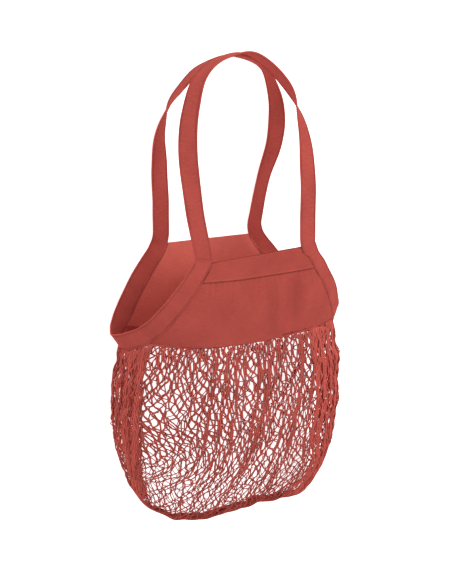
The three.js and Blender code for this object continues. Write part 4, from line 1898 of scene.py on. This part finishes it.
@dataclass
class Net:
    """The knitted pouch: many chains of yarn, each tied to its two neighbours by turns.

    Attributes:
        shape: The pouch's form.
        spacings: How far apart the chains hang.
        pinches: Where the net is drawn together.
        rows: Ties down the length of a chain.
        gauge: How far apart the chains are when the net is spread flat; not used.
        half_depth: Half a chain's thickness.
        fineness: How many levels and angles the pouch is measured at, and how many shares down it.
        angle_stride: Every so many of the angles is kept in the table of shares.
        places_each: How many places for each chain are kept in the table of angles.
        upper_span: The shares of the way down at which the top spacing gives way to the middle one.
        lower_span: The same for the middle one and the low one.
        widening: How much wider a chain is at the sewn edge, as a share, and how far down.
        slimming: How much narrower it is near the bottom, as a share, in front and behind.
        turning: Between which sines of the angle the front gives way to the back.
        slim_span: The shares of the way down between which it gets narrower.
        tied: How far to the side a chain stands where it is tied, in half widths.
        waist: How much narrower it is between two ties, as a share.
        steps: Where a chain has points between one tie and the next.
        leaving: The share of the way to the next tie at which a chain leaves the last one.
        looseness: How unevenly the ties lie, in chains and in rows, how unevenly a chain bows
            between them, in chains, and how uneven its width is, as a share.
        sideways: How the net is shifted round the pouch.
        downwards: How it is shifted down the pouch.
        bound: The shares of the way down up to which, and from which, it can't shift.
        gathered: The spacings, in millimetres, up to which it gathers in pleats and not at all.
        gather_level: The level that these are read at.
        pleats: The chains in one pleat, how far it sways to the side, and over how many rows.
        pleat_depth: How deep the pleats are, and how far under the middle of the wall they lie.
        pleat_fade: How many rows down the pleats are full.
        billows: The broad and the fine unevenness of the wall's depth.
        billow_width: How many chains the broad one takes for each row.
        billow_depth: How deep both are.
        flattening: How much flatter the net gets on the way down, and between which shares.
        seed: Fixes the draws.
    """

    shape: NetShape
    spacings: Sequence[Spacing] = SPACINGS
    pinches: Sequence[Pinch] = PINCHES
    rows: int = 33
    gauge: float = 0.0032
    half_depth: float = 0.00070
    fineness: tuple[int, int, int] = (33, 721, 60)
    angle_stride: int = 8
    places_each: int = 4
    upper_span: tuple[float, float] = (0.0, 0.40)
    lower_span: tuple[float, float] = (0.48, 0.75)
    widening: tuple[float, float] = (0.12, 0.3)
    slimming: tuple[float, float] = (0.24, 0.48)
    turning: tuple[float, float] = (0.0, 0.4)
    slim_span: tuple[float, float] = (0.5, 0.8)
    tied: float = 0.9
    waist: float = 0.08
    steps: tuple[float, ...] = (0.0, 0.27, 0.5, 0.73)
    leaving: float = 0.14
    looseness: tuple[float, float, float, float] = (0.20, 0.22, 0.14, 0.13)
    sideways: tuple[Sway, ...] = SIDEWAYS
    downwards: tuple[Sway, ...] = DOWNWARDS
    bound: tuple[float, float] = (0.06, 0.95)
    gathered: tuple[float, float] = (2.4, 3.6)
    gather_level: float = 0.3
    pleats: tuple[float, float, float] = (7.5, 1.5, 6.0)
    pleat_depth: tuple[float, float] = (0.0015, 0.6)
    pleat_fade: float = 3.0
    billows: tuple[Ripple, Ripple] = (Ripple(52, 5.0), Ripple(51, 3.0))
    billow_width: float = 12.0
    billow_depth: float = 0.0007
    flattening: tuple[float, tuple[float, float]] = (0.6, (0.4, 0.8))
    seed: int = 7

    def __post_init__(self) -> None:
        """Space the chains round the pouch, and measure how far down it each row lies."""
        level_count, angle_count, share_count = self.fineness
        levels, angles = np.linspace(0, 1, level_count), np.linspace(0, math.tau, angle_count)
        laid = [self.shape.surface(angles, np.full_like(angles, level)) for level in levels]
        between = (angles[1:] + angles[:-1]) / 2
        counted = []
        for level, ring in zip(levels, laid):
            steps = np.linalg.norm(np.diff(ring, axis=0), axis=1)
            counted.append(np.concatenate([[0], np.cumsum(steps / self._spacing(between, level))]))
        half = len(angles) // 2
        front = 2 * round(np.mean([count[half] for count in counted]) / 2)
        back = 2 * round(np.mean([count[-1] - count[half] for count in counted]) / 2)
        self.chains = front + back
        columns = np.linspace(0, self.chains, self.places_each * self.chains + 1)
        found = []
        for count in counted:
            ahead = count[:half] * front / count[half]
            behind = front + (count[half:] - count[half]) * back / (count[-1] - count[half])
            found.append(np.interp(columns, np.concatenate([ahead, behind]), angles))
        self.angles = np.array(found)
        down = np.linalg.norm(np.diff(np.array(laid), axis=0), axis=2)
        down = np.concatenate([np.zeros((1, len(angles))), np.cumsum(down, axis=0)])
        shares = np.linspace(0, 1, share_count)
        self.levels = np.array(
            [np.interp(shares, length / length[-1], levels) for length in down.T[:: self.angle_stride]]
        )
        self.length = float(down[-1].mean())

    def _spacing(self, angle: Array, level: float) -> Array:
        """Give how far apart the chains hang round the pouch at one level, in metres.

        Args:
            angle: Angles round the pouch, 0 at the right side.
            level: The share of the way down.

        Returns:
            The distances.
        """
        top, middle, low = (self._listed(angle, ring) for ring in ("top", "middle", "low"))
        upper, lower = (
            float(ramp(np.array(level), *span)) for span in (self.upper_span, self.lower_span)
        )
        return (top + (middle - top) * upper + (low - middle) * lower) / MILLIMETRES

    def _listed(self, angle: Array, name: str) -> Array:
        """Give one of the listed numbers between the listed places, in millimetres.

        Args:
            angle: Angles round the pouch, 0 at the right side.
            name: Which of a spacing's numbers it is.

        Returns:
            The numbers there.
        """
        known = [spot.angle for spot in self.spacings]
        values = [getattr(spot, name) for spot in self.spacings]
        return np.interp(np.degrees(angle) % 360, known, values)

    def place(self, column: Array, row: Array) -> tuple[Array, Array]:
        """Turn places counted in chains and rows into angles and shares of the way down.

        Args:
            column: Places round the pouch, counted in chains.
            row: Places down it, counted in rows.

        Returns:
            The angles and the shares.
        """
        turns, rest = np.divmod(column, self.chains)
        share = np.clip(row / self.rows, 0, 1)
        angle = look_up(self.angles, share, rest / self.chains)
        return angle + turns * 2 * math.pi, look_up(self.levels, angle / (2 * math.pi), share)

    def _hang(self, column: Array, row: Array) -> tuple[Array, Array]:
        """Shift places of the even net so that it hangs unevenly, as handled net does.

        Args:
            column: Places round the pouch, counted in chains.
            row: Places down it, counted in rows.

        Returns:
            The shifted places.
        """
        turn = column / self.chains * 2 * math.pi
        around = self.chains / (2 * math.pi)
        x, y = np.cos(turn) * around, np.sin(turn) * around
        share = row / self.rows
        top, bottom = self.bound
        free = ramp(share, 0.0, top) * (1 - ramp(share, bottom, 1.0))
        sideways, downwards = (
            sum(sway.shift(x, y, row) for sway in sways) for sways in (self.sideways, self.downwards)
        )
        return column + free * sideways, row + free * downwards

    def _pinched(self, points: Array) -> Array:
        """Draw points together at the pinches.

        Args:
            points: The points.

        Returns:
            The points, drawn together.
        """
        for pinch in self.pinches:
            angle, level = np.array([math.radians(pinch.angle)]), np.array([pinch.depth])
            away = points - self.shape.surface(angle, level)
            near = np.linalg.norm(away, axis=1) / pinch.reach
            points = points - away * (pinch.pull * np.exp(-(near**2)))[:, None]
        return points

    def chain(self, number: int, loose: Array) -> Yarn:
        """Lay one chain from the sewn edge to the bottom seam.

        Args:
            number: Which chain it is.
            loose: For each tie of the net, its shift in chains and in rows, and two more draws.

        Returns:
            The chain.
        """
        index = np.arange(self.rows + 1)
        to_left = (number + index) % 2 == 0
        owner = np.where(to_left, number, number - 1) % self.chains
        tie_column = np.where(to_left, number + 0.5, number - 0.5) + loose[0, owner, index]
        tie_row = index + loose[1, owner, index]
        side = np.where(to_left, -1.0, 1.0)
        column, row, beside, width = [], [], [], []
        for part in self.steps:
            ease = float(ramp(np.array(part), self.leaving, 1 - self.leaving))
            bulge = math.sin(math.pi * part)
            bow = loose[2, number, :-1] * bulge
            column.append(tie_column[:-1] * (1 - ease) + tie_column[1:] * ease + bow)
            row.append(tie_row[:-1] * (1 - part) + tie_row[1:] * part)
            beside.append(side[:-1] * (1 - ease) + side[1:] * ease)
            width.append(1 + loose[3, number, :-1] - self.waist * bulge)
        column, row, beside, width = (
            np.append(np.stack(part, axis=1).ravel(), end)
            for part, end in zip(
                (column, row, beside, width),
                (tie_column[-1], self.rows, side[-1], 1.0),
            )
        )
        return self._lay(column, np.clip(row, 0, self.rows), beside, width)

    def _lay(self, column: Array, row: Array, beside: Array, width: Array) -> Yarn:
        """Put one chain on the pouch.

        Args:
            column: Its places round the pouch, counted in chains.
            row: Its places down the pouch, counted in rows.
            beside: How far it stands beside each place, in half widths.
            width: How much wider it is than usual.

        Returns:
            The yarn.
        """
        column, row = self._hang(column, row)
        angle, level = self.place(column, row)
        sideways, downwards = (unit(step) for step in self.shape.slopes(angle, level))
        outwards = unit(np.cross(sideways, downwards))
        half_width = self._listed(angle, "width") / (2 * MILLIMETRES) * width * self._slim(angle, level)
        aside = sideways * (beside * half_width * self.tied)[:, None]
        out = outwards * self._depth(column, row, angle, level)[:, None]
        points = self._pinched(self.shape.surface(angle, level) + aside + out)
        return laid_yarn(points, outwards, half_width, np.full(len(points), self.half_depth))

    def _slim(self, angle: Array, level: Array) -> Array:
        """Give how wide a chain is at a place, as a share of its listed width.

        Args:
            angle: Angles round the pouch, 0 at the right side.
            level: Shares of the way down the pouch.

        Returns:
            One share for each place.
        """
        in_front, behind = self.slimming
        slimming = in_front + (behind - in_front) * ramp(-np.sin(angle), *self.turning)
        widening, end = self.widening
        wider = 1 + widening - widening * ramp(level, 0.0, end)
        return wider - slimming * ramp(level, *self.slim_span)

    def _depth(self, column: Array, row: Array, angle: Array, level: Array) -> Array:
        """Give how far out of the wall's middle a chain stands, in pleats and billows.

        Args:
            column: Places round the pouch, counted in chains.
            row: Places down it, counted in rows.
            angle: Angles round the pouch, 0 at the right side.
            level: Shares of the way down the pouch.

        Returns:
            The distances.
        """
        apart = self._spacing(angle, self.gather_level) * MILLIMETRES
        chains, sway, rows = self.pleats
        pleat = np.sin(column * 2 * math.pi / chains + sway * np.sin(row / rows))
        depth, inwards = self.pleat_depth
        pleats = depth * (1 - ramp(apart, *self.gathered)) * (pleat - inwards)
        broad, fine = self.billows
        billow = self.billow_depth * (broad(row, column / self.billow_width) + fine(column, row))
        share, span = self.flattening
        free = ramp(row, 0, self.pleat_fade) * (1 - ramp(level, self.bound[1], 1))
        return (pleats + billow) * free * (1 - share * ramp(level, *span))

    def build(self) -> list[bpy.types.Object]:
        """Make the pouch in its parts, which share the CAD node.

        Returns:
            The pieces.
        """
        draw = np.random.default_rng(self.seed)
        size = (self.chains, self.rows + 1)
        loose = np.array([draw.normal(0, amount, size) for amount in self.looseness])
        halfway = np.full(self.chains, self.rows / 2)
        at = np.degrees(self.place(np.arange(self.chains, dtype=float), halfway)[0])
        at = np.where(at > NetPart.NET_BACK.value[1], at - 360, at)
        pieces = []
        for part in NetPart:
            first, last, finish = part.value
            chosen = np.flatnonzero((at >= first) & (at < last))
            yarns = [self.chain(number, loose) for number in chosen]
            piece = yarns_piece(part.name.lower(), yarns, YARN_SIDES)
            settle(piece, finish, "net_yarn", "net")
            pieces.append(piece)
        return pieces


@dataclass
class Edging:
    """The rows of yarn that run round the net's sewn edge and along its bottom seam.

    Attributes:
        shape: The pouch's form.
        rim_levels: Where rows run round under the sewn edge, as shares of the way down.
        closing_levels: Where more rows close the net under the back panel, in the open scoop.
        closing_span: The angles at which these start and end, in radians.
        bottom_levels: Where rows run round above the bottom seam.
        seam_levels: Where yarns lie in the bottom seam, as shares of its height.
        seam_points: How many points these follow.
        half: Half the width and half the thickness of every row.
        fineness: How many points a row round the pouch has for each radian.
        wander: How unevenly it runs, as a share of the way down.
        wavelength: The wavelength of that, on a ring with a radius of ring.
        ring: That radius.
    """

    shape: NetShape
    rim_levels: tuple[float, ...] = (0.0, 0.004)
    closing_levels: tuple[float, ...] = (0.009, 0.015, 0.021, 0.027, 0.033)
    closing_span: tuple[float, float] = (3.5, 4.7)
    bottom_levels: tuple[float, ...] = (0.979, 0.984, 0.989, 0.993, 0.997, 1.0)
    seam_levels: tuple[float, ...] = (0.25, 0.5, 0.75)
    seam_points: int = 181
    half: tuple[float, float] = (0.0012, 0.0009)
    fineness: int = 86
    wander: float = 0.0012
    wavelength: float = 0.7
    ring: float = 9.0

    def _row(self, middle: Array, outwards: Array) -> Yarn:
        """Give a row its thickness."""
        half_width, half_depth = (np.full(len(middle), half) for half in self.half)
        return laid_yarn(middle, outwards, half_width, half_depth)

    def _round(self, level: float, ends: tuple[float, float]) -> Yarn:
        """Lay one row round the pouch from one angle to another.

        Args:
            level: The share of the way down at which it runs.
            ends: Where it starts and ends, in radians.

        Returns:
            The row.
        """
        angle = np.linspace(*ends, round(self.fineness * (ends[1] - ends[0])))
        waves = Ripple(round(MILLIMETRES * level), self.wavelength)
        wander = waves(np.cos(angle) * self.ring, np.sin(angle) * self.ring)
        at = np.clip(level + self.wander * wander, 0, 1)
        outwards = unit(np.cross(*self.shape.slopes(angle, at)))
        return self._row(self.shape.surface(angle, at), outwards)

    def rows(self) -> list[Yarn]:
        """Lay all the rows.

        Returns:
            The rows.
        """
        whole = (0.0, math.tau)
        rows = [self._round(level, whole) for level in (*self.rim_levels, *self.bottom_levels)]
        rows += [self._round(level, self.closing_span) for level in self.closing_levels]
        angle = np.linspace(0, math.pi, self.seam_points)
        upper, lower = (self.shape.surface(way, np.ones_like(way)) for way in (angle, -angle))
        for share in self.seam_levels:
            middle = mix(lower, upper, np.full(len(angle), share))
            rows.append(self._row(middle, np.tile((0.0, -1.0, 0.0), (len(angle), 1))))
        return rows

    def build(self) -> bpy.types.Object:
        """Make the edging, which shares the net's CAD node."""
        edging = yarns_piece("net_edging", self.rows(), YARN_SIDES)
        return settle(edging, Finish.NET_EDGE, "net_yarn", "net")


# ---- studio


@dataclass(frozen=True)
class SoftLight:
    """A square soft light.

    Attributes:
        name: Its name.
        place: Where it hangs.
        size: The length of its sides.
        power: Its power, in watts.
    """

    name: str
    place: tuple[float, float, float]
    size: float
    power: float


@dataclass
class Studio:
    """The floor, the lights and the camera.

    Attributes:
        target: The point that the camera looks at.
        turn: How far the camera stands to the bag's left, in degrees.
        tilt: How far it leans towards the handles, in degrees.
        roll: How far it is rolled, in degrees.
        distance: From the camera to the target.
        lens: The lens's focal length, in millimetres.
        sensor: The long side of the camera's sensor, in millimetres.
        clip: The nearest and the farthest that the camera sees.
        soft_lights: The lights.
        surround: How bright the plain surround is.
        floor_size: The length of the floor's sides.
        floor_gap: How far below the bag the floor lies.
    """

    target: tuple[float, float, float] = (-0.013, 0.022, 0.060)
    turn: float = 30.0
    tilt: float = 13.0
    roll: float = -1.0
    distance: float = 1.126
    lens: float = 50.0
    sensor: float = 36.0
    clip: tuple[float, float] = (0.05, 20.0)
    soft_lights: tuple[SoftLight, ...] = (
        SoftLight("key_light", (0.9, 1.1, 2.2), 1.6, 26.0),
        SoftLight("top_light", (0.3, 0.0, 2.6), 2.6, 23.0),
    )
    surround: float = 0.53
    floor_size: float = 8.0
    floor_gap: float = 0.0003

    def camera(self) -> None:
        """Make the camera, which looks down on the lying bag."""
        turn, tilt, roll = (math.radians(angle) for angle in (self.turn, self.tilt, self.roll))
        back = Vector(
            (-math.sin(turn) * math.cos(tilt), math.sin(tilt), math.cos(turn) * math.cos(tilt))
        )
        right = Vector((0, 1, 0)).cross(back).normalized()
        up = back.cross(right)
        rolled_right = right * math.cos(roll) + up * math.sin(roll)
        rolled_up = up * math.cos(roll) - right * math.sin(roll)
        data = bpy.data.cameras.new("camera")
        data.lens = self.lens
        data.sensor_width = self.sensor
        data.clip_start, data.clip_end = self.clip
        camera = bpy.data.objects.new("camera", data)
        turned = Matrix((rolled_right, rolled_up, back)).transposed().to_4x4()
        camera.matrix_world = Matrix.Translation(Vector(self.target) + back * self.distance) @ turned
        bpy.context.scene.collection.objects.link(camera)
        bpy.context.scene.camera = camera

    def lights(self) -> None:
        """Hang the lights, which face the bag, and set the plain surround."""
        for lamp in self.soft_lights:
            data = bpy.data.lights.new(lamp.name, "AREA")
            data.shape = "SQUARE"
            data.size = lamp.size
            data.energy = lamp.power
            light = bpy.data.objects.new(lamp.name, data)
            light.location = lamp.place
            facing = Vector(self.target) - Vector(lamp.place)
            light.rotation_euler = facing.to_track_quat("-Z", "Y").to_euler()
            bpy.context.scene.collection.objects.link(light)
        world = bpy.data.worlds.new("surround")
        world.use_nodes = True
        backdrop = world.node_tree.nodes["Background"]
        backdrop.inputs["Color"].default_value = (1, 1, 1, 1)
        backdrop.inputs["Strength"].default_value = self.surround
        bpy.context.scene.world = world
        bpy.context.scene.view_settings.view_transform = "Standard"

    def floor(self) -> None:
        """Lay the plain pale floor just under the bag."""
        shell = bmesh.new()
        bmesh.ops.create_grid(shell, x_segments=2, y_segments=2, size=self.floor_size / 2)
        bmesh.ops.translate(shell, verts=shell.verts, vec=(0, 0, -self.floor_gap))
        floor = new_object("floor", shell)
        floor.data.materials.append(FloorFinish().material())

    def build(self) -> None:
        """Set the studio up."""
        self.camera()
        self.lights()
        self.floor()


def main() -> None:
    """Build the bag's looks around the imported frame."""
    logging.basicConfig(level=logging.INFO, format="%(name)s: %(message)s")
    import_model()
    Studio().build()
    route = TapeRoute()
    front, back = FrontPanel(route, FRONT_CORNERS), BackPanel(route, BACK_CORNERS)
    front.build()
    back.build()
    Tape(route).build()
    shape = NetShape(route, front, back)
    Net(shape).build()
    Edging(shape).build()


if __name__ == "__main__":
    main()
